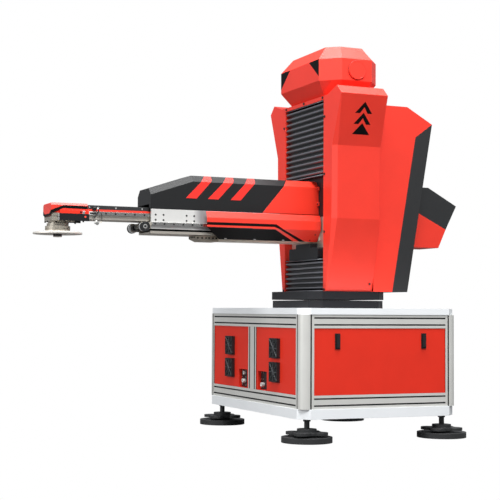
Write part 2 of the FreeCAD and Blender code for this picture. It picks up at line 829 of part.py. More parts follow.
shell = shell_body(0)
shell_top_cut = [(opening_half - 1, z_column_top), (shell_flat_half, z_column_top),
                 (shell_ridge_half, shell_ridge_z), (shell_shoulder_half + 1, shell_shoulder_z),
                 (shell_shoulder_half + 1, shell_ridge_z + 50), (opening_half - 1, shell_ridge_z + 50)]
shell = shell.cut(slab_x(shell_top_cut, -column_front - 1, column_rear + 1))
cavity_top = z_opening_top - 20
cavity = shell_body(shell_wall).common(box(-column_front, column_rear, opening_half, shell_shoulder_half,
                                           z_column, cavity_top))
shell = shell.cut(cavity)
write("column_shells", pair(shell))

# Rear cover: two flat sides, one bent wall with a slot for the arm tail, and a floor
rear_outline = [(column_rear, z_column), (rear_foot_x, z_column), (rear_crown_x, rear_crown_z),
                (rear_foot_x, rear_top_z), (column_rear, rear_top_z)]
rear_side = slab_y(rear_outline, rear_half - shell_wall, rear_half)
rear_skin = slab_y(rear_outline, shell_wall - rear_half, rear_half - shell_wall)
rear_inner = [(column_rear - 1, z_column + shell_wall), (rear_foot_x - shell_wall, z_column + shell_wall),
              (rear_crown_x - shell_wall * 1.1, rear_crown_z - 1), (rear_foot_x - 1, rear_top_z - shell_wall),
              (column_rear - 1, rear_top_z - shell_wall)]
rear_skin = rear_skin.cut(slab_y(rear_inner, shell_wall - rear_half, rear_half - shell_wall))
rear_skin = rear_skin.cut(box(rear_foot_x - 60, rear_crown_x + 60, -tail_slot_half, tail_slot_half,
                              tail_slot_low, tail_slot_high))
write("rear_cover", [rear_skin] + pair(rear_side))

# Screws of the column front and sides
screw_solids = []
for screw_y in (-opening_half + 13, 0, opening_half - 13):
    screw_solids.append(rod(screw_head_radius, (-column_front - screw_head_height, screw_y, z_column_top - 10),
                            (1, 0, 0), screw_head_height))
for step in range(4):
    screw_z = z_column + 10 + screw_pitch * step
    screw_solids.extend(pair(rod(screw_head_radius, (-column_front - screw_head_height, opening_half + 16, screw_z),
                                 (1, 0, 0), screw_head_height)))
write("column_screws", screw_solids)


# Head: a hollow faceted housing with two round bosses
def head_wide(level, inset):
    return [V(-head_front + inset, head_front_half - inset * 0.4, level),
            V(-head_side_front + inset * 0.4, head_side_half - inset, level),
            V(head_side_rear - inset * 0.4, head_side_half - inset, level),
            V(head_front - inset, head_front_half - inset * 0.4, level),
            V(head_front - inset, -head_front_half + inset * 0.4, level),
            V(head_side_rear - inset * 0.4, -head_side_half + inset, level),
            V(-head_side_front + inset * 0.4, -head_side_half + inset, level),
            V(-head_front + inset, -head_front_half + inset * 0.4, level)]


def head_narrow(level, inset):
    rear_reach = head_side_rear - head_side_front + head_top_side_front
    return [V(-head_top_front + inset, head_top_front_half - inset * 0.4, level),
            V(-head_top_side_front + inset * 0.4, head_top_side_half - inset, level),
            V(rear_reach - inset * 0.4, head_top_side_half - inset, level),
            V(head_top_front - inset, head_top_front_half - inset * 0.4, level),
            V(head_top_front - inset, -head_top_front_half + inset * 0.4, level),
            V(rear_reach - inset * 0.4, -head_top_side_half + inset, level),
            V(-head_top_side_front + inset * 0.4, -head_top_side_half + inset, level),
            V(-head_top_front + inset, -head_top_front_half + inset * 0.4, level)]


def head_body(inset, low, high):
    return stack([head_narrow(low, inset), head_wide(head_waist_z, inset),
                  head_wide(head_shoulder_z, inset), head_narrow(high, inset)])


head = head_body(0, z_column_top, head_top_z)
head = head.cut(head_body(shell_wall * 1.5, z_column_top, head_top_z - shell_wall))
boss = rod(head_boss_radius, (head_boss_x, head_side_half, head_boss_z), (0, 1, 0), head_boss_depth)
head = fuse([head] + pair(boss))
write("head_housing", [head])

# Lift motor on its flange, with the screw journal running up into it
motor_low = z_column_top
motor = box(-lift_screw_x - lift_motor_width / 2, lift_motor_width / 2 - lift_screw_x,
            lift_screw_y - lift_motor_width / 2, lift_screw_y + lift_motor_width / 2,
            motor_low + lift_motor_flange, motor_low + lift_motor_flange + lift_motor_height)
flange = rod(lift_motor_width / 2, (-lift_screw_x, lift_screw_y, motor_low), (0, 0, 1), lift_motor_flange)
lift_motor = fuse([motor, flange])
journal_top = motor_low + lift_motor_flange + 40
lift_motor = lift_motor.cut(rod(lift_journal_radius + run_gap, (-lift_screw_x, lift_screw_y, motor_low), (0, 0, 1),
                                journal_top + 1 - motor_low))
write("lift_motor", [lift_motor])
lift_screw = fuse([
    rod(lift_journal_radius, (-lift_screw_x, lift_screw_y, z_column + 0.3), (0, 0, 1), journal_top - z_column - 0.3),
    rod(lift_screw_radius, (-lift_screw_x, lift_screw_y, z_column + lift_bearing_height + 0.3), (0, 0, 1),
        z_opening_top - z_column - lift_bearing_height - 0.6)])
write("lift_screw", [lift_screw])


# Bellows: a pleated sheet closed by a flat bar at each end
def bellows(low, high, pleats):
    face_x = -bellows_front
    back_x = -bellows_front + bellows_pleat_depth
    rise = (high - low - 2 * bellows_end) / pleats
    crest = []
    for step in range(pleats):
        crest.append((back_x - bellows_skin, low + bellows_end + rise * step))
        crest.append((face_x, low + bellows_end + rise * (step + 0.5)))
    crest.append((back_x - bellows_skin, high - bellows_end))
    inner = [(x + bellows_skin, z) for x, z in reversed(crest)]
    sheet = slab_y(crest + inner, -bellows_half, bellows_half)
    bars = []
    for bar_low in (low, high - bellows_end):
        bars.append(box(face_x, 10 - carriage_front, -bellows_half, bellows_half, bar_low, bar_low + bellows_end))
    return fuse([sheet] + bars)


write("bellows_upper", [bellows(carriage_high + soft_gap, z_opening_top - soft_gap, bellows_upper_pleats)])
write("bellows_lower", [bellows(z_column + soft_gap, carriage_low - soft_gap, bellows_lower_pleats)])

# Carriage plates
plate_x0 = -carriage_front
plate_x1 = plate_x0 + carriage_plate_thickness
upper_carriage = box(plate_x0, plate_x1, -carriage_half, carriage_half, carriage_joint, carriage_high)
lower_carriage = box(plate_x0, plate_x1, -carriage_half, carriage_half, carriage_low, carriage_joint)
lower_carriage = lower_carriage.cut(rod(arm_shaft_radius + run_gap, (plate_x0, arm_screw_y, drive_z), (1, 0, 0),
                                        carriage_plate_thickness))
write("carriage_plate_upper", [upper_carriage])
write("carriage_plate_lower", [lower_carriage])

# Lift nut on the back of the upper carriage plate
lift_nut = box(plate_x1, 35 - lift_screw_x, lift_screw_y - 32, lift_screw_y + 32,
               lift_nut_low, lift_nut_low + lift_nut_height)
lift_nut = lift_nut.cut(rod(lift_screw_radius + run_gap, (-lift_screw_x, lift_screw_y, lift_nut_low), (0, 0, 1),
                            lift_nut_height))
write("lift_nut", [lift_nut])

# Guide blocks of the lift and of the middle stage
block_solids = []
channel_half = lift_rail_width / 2 + run_gap
for block_low in (carriage_low + 38, carriage_high - 42 - guide_block_length):
    lift_block = box(plate_x1, pillar_x0 - 4, lift_rail_offset - lift_rail_width / 2 - guide_block_side,
                     lift_rail_offset + lift_rail_width / 2 + guide_block_side,
                     block_low, block_low + guide_block_length)
    lift_block = lift_block.cut(box(rail_x0 - run_gap, pillar_x0, lift_rail_offset - channel_half,
                                    lift_rail_offset + channel_half, block_low, block_low + guide_block_length))
    block_solids.extend(pair(lift_block))
mid_outer = mid_plate_inner + mid_plate_thickness
frame_wall_inner = mid_outer + arm_block_reach
for block_x in (-arm_block_front_x, -arm_block_rear_x):
    arm_block = box(block_x, block_x + arm_block_length, mid_outer + 2, frame_wall_inner,
                    mid_rail_low - 12, mid_rail_high + 12)
    arm_block = arm_block.cut(box(block_x, block_x + arm_block_length, mid_outer, mid_outer + mid_rail_depth + run_gap,
                                  mid_rail_low - run_gap, mid_rail_high + run_gap))
    block_solids.extend(pair(arm_block))
write("guide_blocks", block_solids)

# Side frames that carry the middle stage, standing on the base beam
frame_front = lower_cover_front - 10
frame_rear = lower_cover_rear + 5
frame_toe = mid_plate_inner + 2
frame_top = mid_plate_low + frame_wall_height
side_outline = [(frame_toe - frame_foot_width, beam_high), (frame_toe, beam_high), (frame_wall_inner + 2, mid_plate_low + 4),
                (frame_wall_outer, mid_plate_low + 10), (frame_wall_outer, frame_top),
                (frame_wall_inner, frame_top), (frame_wall_inner, mid_plate_low + 7),
                (frame_wall_inner - 2, mid_plate_low + 4), (frame_toe - 4, beam_high + frame_foot_height),
                (frame_toe - frame_foot_width, beam_high + frame_foot_height)]
side_frame = slab_x(side_outline, -frame_front, -frame_rear)
heel_cut = [(-frame_front - 1, beam_high - 1), (1 - beam_front, beam_high - 1), (-frame_front - 1, mid_plate_low + 10)]
side_frame = side_frame.cut(slab_y(heel_cut, 0, lower_cover_half))
side_frame = side_frame.cut(box(-frame_front - 1, -beam_front, 0, frame_toe, beam_high - 1, carrier_high + soft_gap))
frame_pads = [side_frame]
for pad_x in (-frame_front + 20, -frame_front / 2, -frame_rear - 50):
    frame_pads.append(box(pad_x, pad_x + 30, frame_wall_outer, lower_cover_half - lower_cover_wall,
                          mid_plate_low + 40, mid_plate_low + 68))
write("guide_frames", pair(fuse(frame_pads)))

# Lower side covers
outer_line = [(lower_cover_top_half, lower_cover_top), (lower_cover_half, lower_cover_shoulder),
              (lower_cover_half, lower_cover_waist), (lower_cover_low_half, lower_cover_low)]
inner_line = [(lower_cover_low_half - lower_cover_wall * 0.8, lower_cover_low + lower_cover_wall * 0.6),
              (lower_cover_half - lower_cover_wall, lower_cover_waist + lower_cover_wall * 0.5),
              (lower_cover_half - lower_cover_wall, lower_cover_shoulder - lower_cover_wall * 0.3),
              (lower_cover_top_half - lower_cover_wall, lower_cover_top - lower_cover_wall * 0.3)]
lower_cover = slab_x(outer_line + inner_line, -lower_cover_front, -lower_cover_rear)
heel_run = (lower_cover_front - lower_cover_heel) / (lower_cover_waist - lower_cover_low)
cover_heel_cut = [(-lower_cover_front - 9, lower_cover_waist), (-lower_cover_front, lower_cover_waist),
                  (-lower_cover_heel + heel_run * 10, lower_cover_low - 10), (-lower_cover_front - 9, lower_cover_low - 10)]
lower_cover = lower_cover.cut(slab_y(cover_heel_cut, 0, lower_cover_half + 1))
write("lower_covers", pair(lower_cover))

# Base beam with the belt post, and the block at its front
base_beam = box(-beam_front, -carriage_front, -carrier_half - 2, carrier_half + 2, beam_low, beam_high)
belt_low = drive_z - pulley_radius - belt_thickness
belt_high = drive_z + pulley_radius + belt_thickness
belt_post = box(-base_clamp_x - clamp_length / 2, clamp_length / 2 - base_clamp_x, -clamp_half, clamp_half,
                beam_high, belt_low - lift_off_gap)
base_beam = fuse([base_beam, belt_post])
block_outline = [(-carrier_front, carrier_high), (-carrier_front, carrier_high - carrier_height / 2),
                 (carrier_bevel - carrier_front, carrier_low), (-beam_front, carrier_low), (-beam_front, carrier_high)]
base_block = slab_y(block_outline, -carrier_half, carrier_half)
write("base_beam", [base_beam, base_block])

# Support bracket under the base beam
bracket_face = bracket_thickness + carriage_front
wide_part = box(-bracket_face, -carriage_front, -bracket_wide_half, bracket_wide_half, carriage_low, bracket_wide_top)
wide_edges = [edge for edge in wide_part.Edges
              if abs(abs(edge.CenterOfMass.y) - bracket_wide_half) < 1 and len(edge.Vertexes) == 2
              and abs(edge.Vertexes[0].X - edge.Vertexes[1].X) > 1]
wide_part = wide_part.makeFillet(bracket_rounding, wide_edges)
narrow_part = box(-bracket_face, -carriage_front, -bracket_narrow_half, bracket_narrow_half, carriage_low, beam_low)
write("arm_bracket", [fuse([wide_part, narrow_part])])

# Arm beams: one forward inside the upper cover, one back through the column
spine = box(-spine_front, -carriage_front, -spine_half, spine_half, spine_low, spine_high)
spine = spine.cut(box(-spine_front, -carriage_front, spine_wall - spine_half, spine_half - spine_wall,
                      spine_low + spine_wall, spine_high - spine_wall))
spine_parts = [spine]
for pad_x in (-spine_front + 40, -(spine_front + carriage_front) / 2, -carriage_front - 130):
    spine_parts.append(box(pad_x, pad_x + 30, -spine_half / 2, spine_half / 2, spine_high, cover_top - cover_wall))
tail_beam = box(plate_x1, tail_beam_rear, -tail_beam_half, tail_beam_half, tail_beam_low, tail_beam_high)
tail_beam = tail_beam.cut(box(plate_x1, tail_beam_rear, spine_wall - tail_beam_half, tail_beam_half - spine_wall,
                              tail_beam_low + spine_wall, tail_beam_high - spine_wall))
tail_parts = [tail_beam]
for pad_x in (tail_front + 50, tail_beam_rear - 50):
    for side in (-1, 1):
        tail_parts.append(box(pad_x, pad_x + 30, side * tail_beam_half, side * (tail_half - tail_wall),
                              tail_beam_low + 90, tail_beam_low + 130))
write("arm_beams", [fuse(spine_parts), fuse(tail_parts)])

# Tail cover around the rear beam and the extension motor
tail_outline = [(tail_front, tail_top), (tail_flat_x, tail_top), (tail_tip_x, tail_tip_z), (tail_notch_x, tail_notch_z),
                (tail_heel_x, tail_low), (tail_front, tail_low)]
tail_inner = [(tail_front - 1, tail_top - tail_wall), (tail_flat_x - 1, tail_top - tail_wall),
              (tail_tip_x - tail_wall * 1.3, tail_tip_z - 1), (tail_notch_x - tail_wall, tail_notch_z),
              (tail_heel_x - tail_wall * 0.7, tail_low + tail_wall), (tail_front - 1, tail_low + tail_wall)]
tail_cover = slab_y(tail_outline, -tail_half, tail_half)
tail_cover = tail_cover.cut(slab_y(tail_inner, tail_wall - tail_half, tail_half - tail_wall))
write("tail_cover", [tail_cover])


# Upper cover of the arm, parted from its root cover along a slanted seam
def cover_section(x, drop, inset, bottom):
    bevel = cover_top - cover_side_top
    side = cover_half - inset
    shoulder = cover_side_top - drop - inset * 0.4
    top = cover_top - drop - inset
    crown = cover_half - bevel - inset * 0.4
    return [V(x, -side, bottom), V(x, -side, shoulder), V(x, -crown, top),
            V(x, crown, top), V(x, side, shoulder), V(x, side, bottom)]


cover = stack([cover_section(-cover_front, cover_front_drop, 0, cover_low),
               cover_section(-cover_slope_x, 0, 0, cover_low),
               cover_section(-carriage_front, 0, 0, cover_low)])
front_drop = cover_front_drop * (1 - cover_wall / (cover_front - cover_slope_x))
cover_inside = stack([cover_section(cover_wall - cover_front, front_drop, cover_wall, cover_low - 1),
                      cover_section(-cover_slope_x, 0, cover_wall, cover_low - 1),
                      cover_section(1 - carriage_front, 0, cover_wall, cover_low - 1)])
cover = cover.cut(cover_inside)
cover = cover.cut(box(-cover_front - 1, cover_wall + 1 - cover_front, -notch_half, notch_half, cover_low - 1, notch_top))
seam_lean = (seam_low_x - seam_high_x) / (cover_top - cover_low)
seam_zone = [(-seam_low_x - seam_lean * 5, cover_low - 5), (-seam_high_x + seam_lean * 5, cover_top + 5),
             (0, cover_top + 5), (0, cover_low - 5)]
shifted_zone = [(x - seam_gap if x < 0 else x, z) for x, z in seam_zone]
write("arm_cover", [cover.cut(slab_y(shifted_zone, -cover_half - 1, cover_half + 1))])
write("root_cover", [cover.common(slab_y(seam_zone, -cover_half - 1, cover_half + 1))])

# Extension motor in the tail, its screw running forward through the column
arm_motor = box(arm_motor_front, arm_motor_front + arm_motor_length, arm_screw_y - arm_motor_width / 2,
                arm_screw_y + arm_motor_width / 2, drive_z - arm_motor_width / 2, drive_z + arm_motor_width / 2)
motor_lug = box(arm_motor_front + 20, arm_motor_front + 120, arm_screw_y - 30, arm_screw_y + 30,
                drive_z + arm_motor_width / 2, tail_beam_low)
arm_motor = fuse([arm_motor, motor_lug])
arm_motor = arm_motor.cut(rod(arm_shaft_radius + run_gap, (arm_motor_front, arm_screw_y, drive_z), (1, 0, 0), 61))
write("extension_motor", [arm_motor])
arm_screw = fuse([
    rod(arm_screw_radius, (-arm_screw_front, arm_screw_y, drive_z), (1, 0, 0), arm_screw_front - arm_screw_rear),
    rod(arm_shaft_radius, (-arm_screw_rear, arm_screw_y, drive_z), (1, 0, 0), arm_screw_rear + arm_motor_front + 60)])
write("extension_screw", [arm_screw])

# Middle stage: a channel beam with ears, side plates and rails
channel = box(-mid_front, -mid_rear, -mid_plate_inner, mid_plate_inner, mid_beam_low, mid_beam_high)
channel = channel.cut(box(-mid_front, -mid_rear, mid_beam_wall - mid_plate_inner, mid_plate_inner - mid_beam_wall,
                          mid_beam_low + mid_beam_floor, mid_beam_high))
travel_front = -base_clamp_x - stage_stroke - clamp_length / 2 - 6
travel_rear = -base_clamp_x + clamp_length / 2 + 6
channel = channel.cut(box(travel_front, travel_rear, -clamp_half - 4, clamp_half + 4, mid_beam_low,
                          mid_beam_low + mid_beam_floor))
ear_outer = wheel_offset - wheel_width / 2 - 2
mid_parts = [channel]
for side in (-1, 1):
    groove = box(-mid_front, -mid_rear, side * mid_plate_inner, side * (mid_plate_inner - t_slot_depth),
                 t_slot_low, t_slot_high)
    mid_parts[0] = mid_parts[0].cut(groove)
    mid_parts.append(box(-front_pulley_x - 17, -mid_front + 1, side * (ear_outer - 13), side * ear_outer,
                         drive_z - 22, mid_beam_high))
floor_top = mid_beam_low + mid_beam_floor
mid_parts.append(box(-arm_nut_x - arm_nut_length / 2, arm_nut_length / 2 - arm_nut_x, arm_screw_y - 18,
                     arm_screw_y + 18, floor_top, mid_beam_high))
rib_y = arm_screw_y - 38
mid_parts.append(box(-rear_pulley_x - 18, 18 - rear_pulley_x, rib_y, rib_y + 8, floor_top, mid_beam_high))
mid_beam = fuse(mid_parts)
mid_beam = mid_beam.cut(rod(arm_screw_radius + run_gap, (-mid_front, arm_screw_y, drive_z), (1, 0, 0),
                            mid_front - mid_rear))
pulley_bore = pulley_shaft_radius + run_gap
mid_beam = mid_beam.cut(rod(pulley_bore, (-front_pulley_x, -ear_outer, drive_z), (0, 1, 0), 2 * ear_outer))
mid_beam = mid_beam.cut(rod(pulley_bore, (-rear_pulley_x, -mid_plate_inner, drive_z), (0, 1, 0),
                            mid_plate_inner + rib_y + 8))
write("mid_beam", [mid_beam])
side_plate = box(-mid_front, -mid_rear, mid_plate_inner, mid_outer, mid_plate_low, mid_plate_high)
write("mid_side_plates", pair(side_plate))
mid_rail = box(-mid_front, -mid_rear, mid_outer, mid_outer + mid_rail_depth, mid_rail_low, mid_rail_high)
write("mid_rails", pair(mid_rail))
front_block_solids = []
for block_x in (-front_block_x, front_block_pitch - front_block_x):
    block = box(block_x - arm_block_length / 2, block_x + arm_block_length / 2, front_half + 4, mid_plate_inner,
                front_rail_low - 12, front_rail_high + 12)
    block = block.cut(box(block_x - arm_block_length / 2, block_x + arm_block_length / 2, front_half,
                          front_half + front_rail_depth + run_gap, front_rail_low - run_gap, front_rail_high + run_gap))
    front_block_solids.extend(pair(block))
write("front_blocks", front_block_solids)


# Belt loop and its two pulley shafts
def loop(radius, half_width):
    front = rod(radius, (-front_pulley_x, -half_width, drive_z), (0, 1, 0), 2 * half_width)
    rear = rod(radius, (-rear_pulley_x, -half_width, drive_z), (0, 1, 0), 2 * half_width)
    run = box(-front_pulley_x, -rear_pulley_x, -half_width, half_width, drive_z - radius, drive_z + radius)
    return fuse([front, rear, run])


def pulley(x):
    parts = [rod(pulley_radius, (x, -belt_width / 2 - 1, drive_z), (0, 1, 0), belt_width + 2)]
    for side in (-belt_width / 2 - 3, belt_width / 2 + 1):
        parts.append(rod(pulley_radius + belt_thickness + 1.5, (x, side, drive_z), (0, 1, 0), 2))
    return parts


drive_belt = loop(pulley_radius + belt_thickness, belt_width / 2).cut(loop(pulley_radius + run_gap, belt_width / 2))
write("drive_belt", [drive_belt])
wheel_outer = wheel_offset + wheel_width / 2
front_shaft = [rod(pulley_shaft_radius, (-front_pulley_x, -wheel_outer, drive_z), (0, 1, 0), 2 * wheel_outer)]
for side in (-wheel_outer, wheel_outer - wheel_width):
    front_shaft.append(rod(wheel_radius, (-front_pulley_x, side, drive_z), (0, 1, 0), wheel_width))
write("front_pulley_shaft", [fuse(front_shaft + pulley(-front_pulley_x))])
rear_start = lift_off_gap - mid_plate_inner
rear_shaft = rod(pulley_shaft_radius, (-rear_pulley_x, rear_start, drive_z), (0, 1, 0), rib_y + 8 - rear_start)
write("rear_pulley", [fuse([rear_shaft] + pulley(-rear_pulley_x))])

# Front stage: a hollow beam with rails and a cable cover
front_beam = box(-front_front, -front_rear, -front_half, front_half, front_low, front_high)
front_beam = front_beam.cut(box(-front_front, -front_rear, 6 - front_half, front_half - 6, front_low + 6, front_high - 6))
belt_grip = box(-front_clamp_x - clamp_length / 2, clamp_length / 2 - front_clamp_x, -clamp_half, clamp_half,
                belt_high + lift_off_gap, front_low)
write("front_beam", [fuse([front_beam, belt_grip])])
front_rail = box(-front_rail_front, -front_rear, front_half, front_half + front_rail_depth, front_rail_low,
                 front_rail_high)
write("front_rails", pair(front_rail))
cable_cover = box(-cable_cover_front, -front_rear, -cable_cover_half, cable_cover_half, front_high, cable_cover_top)
cable_cover = cable_cover.cut(box(-cable_cover_front, -front_rear, 2 - cable_cover_half, cable_cover_half - 2,
                                  front_high, cable_cover_top - 2))
write("cable_cover", [cable_cover])

# Wrist: bracket, gearbox with its motor, nose cover
cheek = box(-cheek_front, -cheek_rear, cheek_inner, cheek_outer, cheek_low, front_high)
cheek_foot = box(-front_front, -cheek_rear, front_half, cheek_outer, front_low, front_high)
bracket_plate = box(-wrist_plate_front, -front_front, -cheek_inner, cheek_inner, gearbox_high, front_high)
bracket_plate = bracket_plate.cut(rod(wrist_motor_radius + soft_gap, (-wrist_x, 0, gearbox_high), (0, 0, 1),
                                      front_high - gearbox_high))
write("wrist_bracket", [fuse([bracket_plate] + pair(cheek) + pair(cheek_foot))])
gearbox = box(-wrist_plate_front, gearbox_half - wrist_x, -gearbox_half, gearbox_half, gearbox_low + gearbox_step,
              gearbox_high)
gearbox = fuse([gearbox, rod(gearbox_flange_radius, (-wrist_x, 0, gearbox_low), (0, 0, 1), gearbox_step)])
wrist_motor = rod(wrist_motor_radius, (-wrist_x, 0, gearbox_high), (0, 0, 1), front_high - gearbox_high + wrist_motor_height)
gearbox = fuse([gearbox, wrist_motor])
gearbox = gearbox.cut(rod(wrist_shaft_radius + run_gap, (-wrist_x, 0, gearbox_low), (0, 0, 1), 31))
write("wrist_gearbox", [gearbox])


def nose_body(inset, low):
    front = inset - nose_front
    body = slab_y([(-nose_rear, low), (-nose_rear, nose_top - inset), (nose_slope - nose_front, nose_top - inset),
                   (front, nose_top - nose_drop - inset), (front, low)], inset - nose_half, nose_half - inset)
    for side in (-1, 1):
        corner = [(side * (nose_half - inset - nose_edge), nose_top + 1), (side * (nose_half + 2), nose_top + 1),
                  (side * (nose_half + 2), nose_top - inset - nose_edge), (side * (nose_half - inset), nose_top - inset - nose_edge),
                  (side * (nose_half - inset - nose_edge), nose_top - inset)]
        body = body.cut(slab_x(corner, -nose_front - 1, 1 - nose_rear))
    return body


nose = nose_body(0, nose_side_low).cut(nose_body(nose_wall, nose_side_low))
shield = slab_x([(-nose_half, nose_side_low), (nose_half, nose_side_low), (nose_half, nose_front_low),
                 (nose_half - 30, gearbox_high - nose_shield_drop), (30 - nose_half, gearbox_high - nose_shield_drop), (-nose_half, nose_front_low)],
                -nose_front, nose_wall - nose_front)
write("nose_cover", [fuse([nose, shield])])

# Wrist output: hub with shaft, collar and neck, and the tool disc
hub = fuse([
    rod(wrist_shaft_radius, (-wrist_x, 0, neck_low), (0, 0, 1), gearbox_low + 30 - neck_low),
    rod(neck_radius, (-wrist_x, 0, neck_low), (0, 0, 1), gearbox_low - soft_gap - neck_low),
    rod(collar_radius, (-wrist_x, 0, collar_low), (0, 0, 1), neck_low - collar_low)])
write("wrist_hub", [hub])
disc = rod(disc_radius, (-wrist_x, 0, disc_low), (0, 0, 1), disc_high - disc_low)
taper = Part.makeCone(disc_radius, disc_radius - 22, disc_rim, V(-wrist_x, 0, disc_high - disc_rim), V(0, 0, 1))
rim_zone = ring(disc_radius + 1, disc_radius - 22, (-wrist_x, 0, disc_high - disc_rim), (0, 0, 1), disc_rim)
disc = disc.cut(rim_zone.cut(taper))
pilot = rod(pilot_radius, (-wrist_x, 0, pilot_low), (0, 0, 1), disc_low - pilot_low)
neck_pad = rod(collar_radius - 4, (-wrist_x, 0, disc_high), (0, 0, 1), collar_low - disc_high)
disc = fuse([disc, pilot, neck_pad])
for step in range(tool_hole_count):
    angle = 2 * math.pi * step / tool_hole_count
    hole_x = -wrist_x + tool_circle_radius * math.cos(angle)
    hole_y = tool_circle_radius * math.sin(angle)
    disc = disc.cut(rod(tool_hole_radius, (hole_x, hole_y, disc_low), (0, 0, 1), disc_high - disc_low))
write("tool_disc", [disc])

# Cables looping beside the front beam, close to its rail
rail_face = front_half + front_rail_depth
black_lane = -rail_face - black_cable_radius - cable_gap
pale_lane = -rail_face - pale_cable_radius - cable_gap
write("wrist_cable_black", [tube([
    (-1600.0, black_lane, 1362.0), (-1574.0, black_lane, 1374.0), (-1563.0, black_lane, 1336.0),
    (-1600.0, black_lane, 1303.0)], black_cable_radius)])
write("wrist_cable_pale", [tube([
    (-1550.0, pale_lane, 1336.0), (-1543.0, pale_lane, 1300.0), (-1550.0, pale_lane, 1273.0),
    (-1584.0, pale_lane, 1284.0)], pale_cable_radius)])
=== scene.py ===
import bpy
import bmesh
import math
from mathutils import Matrix, Vector


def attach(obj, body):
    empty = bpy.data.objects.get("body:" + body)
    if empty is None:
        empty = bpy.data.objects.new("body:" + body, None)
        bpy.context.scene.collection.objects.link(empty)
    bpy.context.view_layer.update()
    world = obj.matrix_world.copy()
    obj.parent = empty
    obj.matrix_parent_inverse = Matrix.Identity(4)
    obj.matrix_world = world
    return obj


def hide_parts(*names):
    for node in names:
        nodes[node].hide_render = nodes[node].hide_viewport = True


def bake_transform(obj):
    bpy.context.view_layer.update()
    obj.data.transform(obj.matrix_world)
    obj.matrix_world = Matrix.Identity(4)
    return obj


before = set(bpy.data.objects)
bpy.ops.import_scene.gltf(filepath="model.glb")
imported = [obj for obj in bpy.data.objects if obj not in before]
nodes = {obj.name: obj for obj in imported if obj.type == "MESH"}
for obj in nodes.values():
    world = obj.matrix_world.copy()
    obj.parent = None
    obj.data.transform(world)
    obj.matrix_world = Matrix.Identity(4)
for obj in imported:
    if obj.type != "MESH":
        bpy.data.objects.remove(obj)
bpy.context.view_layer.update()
scene = bpy.context.scene
print("stage: frame loaded")


# The sRGB curve: a short straight toe, then a power
srgb = {"toeEnd": 0.04045, "toeSlope": 12.92, "shift": 0.055, "power": 2.4}


# A hex colour in linear light, opaque
def linear(code):
    channels = [int(code[i:i + 2], 16) / 255 for i in (0, 2, 4)]
    return tuple(c / srgb["toeSlope"] if c <= srgb["toeEnd"] else
                 ((c + srgb["shift"]) / (1 + srgb["shift"])) ** srgb["power"] for c in channels) + (1.0,)


def addNode(tree, kind, links=None, values=None, **settings):
    node = tree.nodes.new(kind)
    for key, value in settings.items():
        setattr(node, key, value)
    for key, value in (values or {}).items():
        node.inputs[key].default_value = value
    for key, source in (links or {}).items():
        tree.links.new(source, node.inputs[key])
    return node


def ramp(tree, source, low, high, start, end):
    node = addNode(tree, "ShaderNodeMapRange", {0: source}, {1: low, 2: high, 3: start, 4: end})
    return node.outputs[0]


# Coordinates are the part's own metres, so 1000 / mm is the scale of a pattern that size.
def grain(tree, millimetres, stretch=(1, 1, 1), detail=2.0):
    place = addNode(tree, "ShaderNodeTexCoord").outputs["Object"]
    mapping = addNode(tree, "ShaderNodeMapping", {"Vector": place}, {"Scale": stretch})
    noise = addNode(tree, "ShaderNodeTexNoise", {"Vector": mapping.outputs[0]},
                    {"Scale": 1000.0 / millimetres, "Detail": detail, "Roughness": 0.55})
    return noise.outputs["Fac"]


# What a look has where it says nothing else; a length ending in Mm is in millimetres.
plainFinish = {"patchMm": 180, "variation": 0.04, "stretch": (1, 1, 1), "roughSpread": 0.04, "metallic": 0.0,
               "coatRoughness": 0.12, "edgeMm": 1.5, "bump": 0.08, "bumpMm": 0.1}


def finished(look):
    return {**plainFinish, **look}


# The look's colour, a touch lighter and darker in wide patches
def patchyColour(tree, look):
    patch = grain(tree, look["patchMm"], detail=3.0)
    shade = ramp(tree, patch, 0.3, 0.7, 1 - look["variation"], 1 + look["variation"])
    tone = addNode(tree, "ShaderNodeHueSaturation", {"Value": shade}, {"Color": linear(look["colour"])})
    return tone.outputs[0]


def finishMaterial(name, look):
    look = finished(look)
    material = bpy.data.materials.new(name)
    material.use_nodes = True
    tree = material.node_tree
    tree.nodes.clear()
    shader = addNode(tree, "ShaderNodeBsdfPrincipled")
    output = addNode(tree, "ShaderNodeOutputMaterial", {"Surface": shader.outputs[0]})
    output.target = "ALL"
    tree.links.new(patchyColour(tree, look), shader.inputs["Base Color"])
    fine = grain(tree, look["grainMm"], look["stretch"])
    spread = look["roughSpread"]
    rough = ramp(tree, fine, 0.25, 0.75, look["roughness"] - spread, look["roughness"] + spread)
    tree.links.new(rough, shader.inputs["Roughness"])
    shader.inputs["Metallic"].default_value = look["metallic"]
    if "ior" in look:
        shader.inputs["IOR"].default_value = look["ior"]
    if "sheen" in look:
        shader.inputs["Specular IOR Level"].default_value = look["sheen"]
    if "coat" in look:
        shader.inputs["Coat Weight"].default_value = look["coat"]
        shader.inputs["Coat Roughness"].default_value = look["coatRoughness"]
    rounded = addNode(tree, "ShaderNodeBevel", values={"Radius": look["edgeMm"] / 1000}, samples=4)
    bump = addNode(tree, "ShaderNodeBump", {"Height": fine, "Normal": rounded.outputs[0]},
                   {"Strength": look["bump"], "Distance": look["bumpMm"] / 1000})
    tree.links.new(bump.outputs[0], shader.inputs["Normal"])
    return material


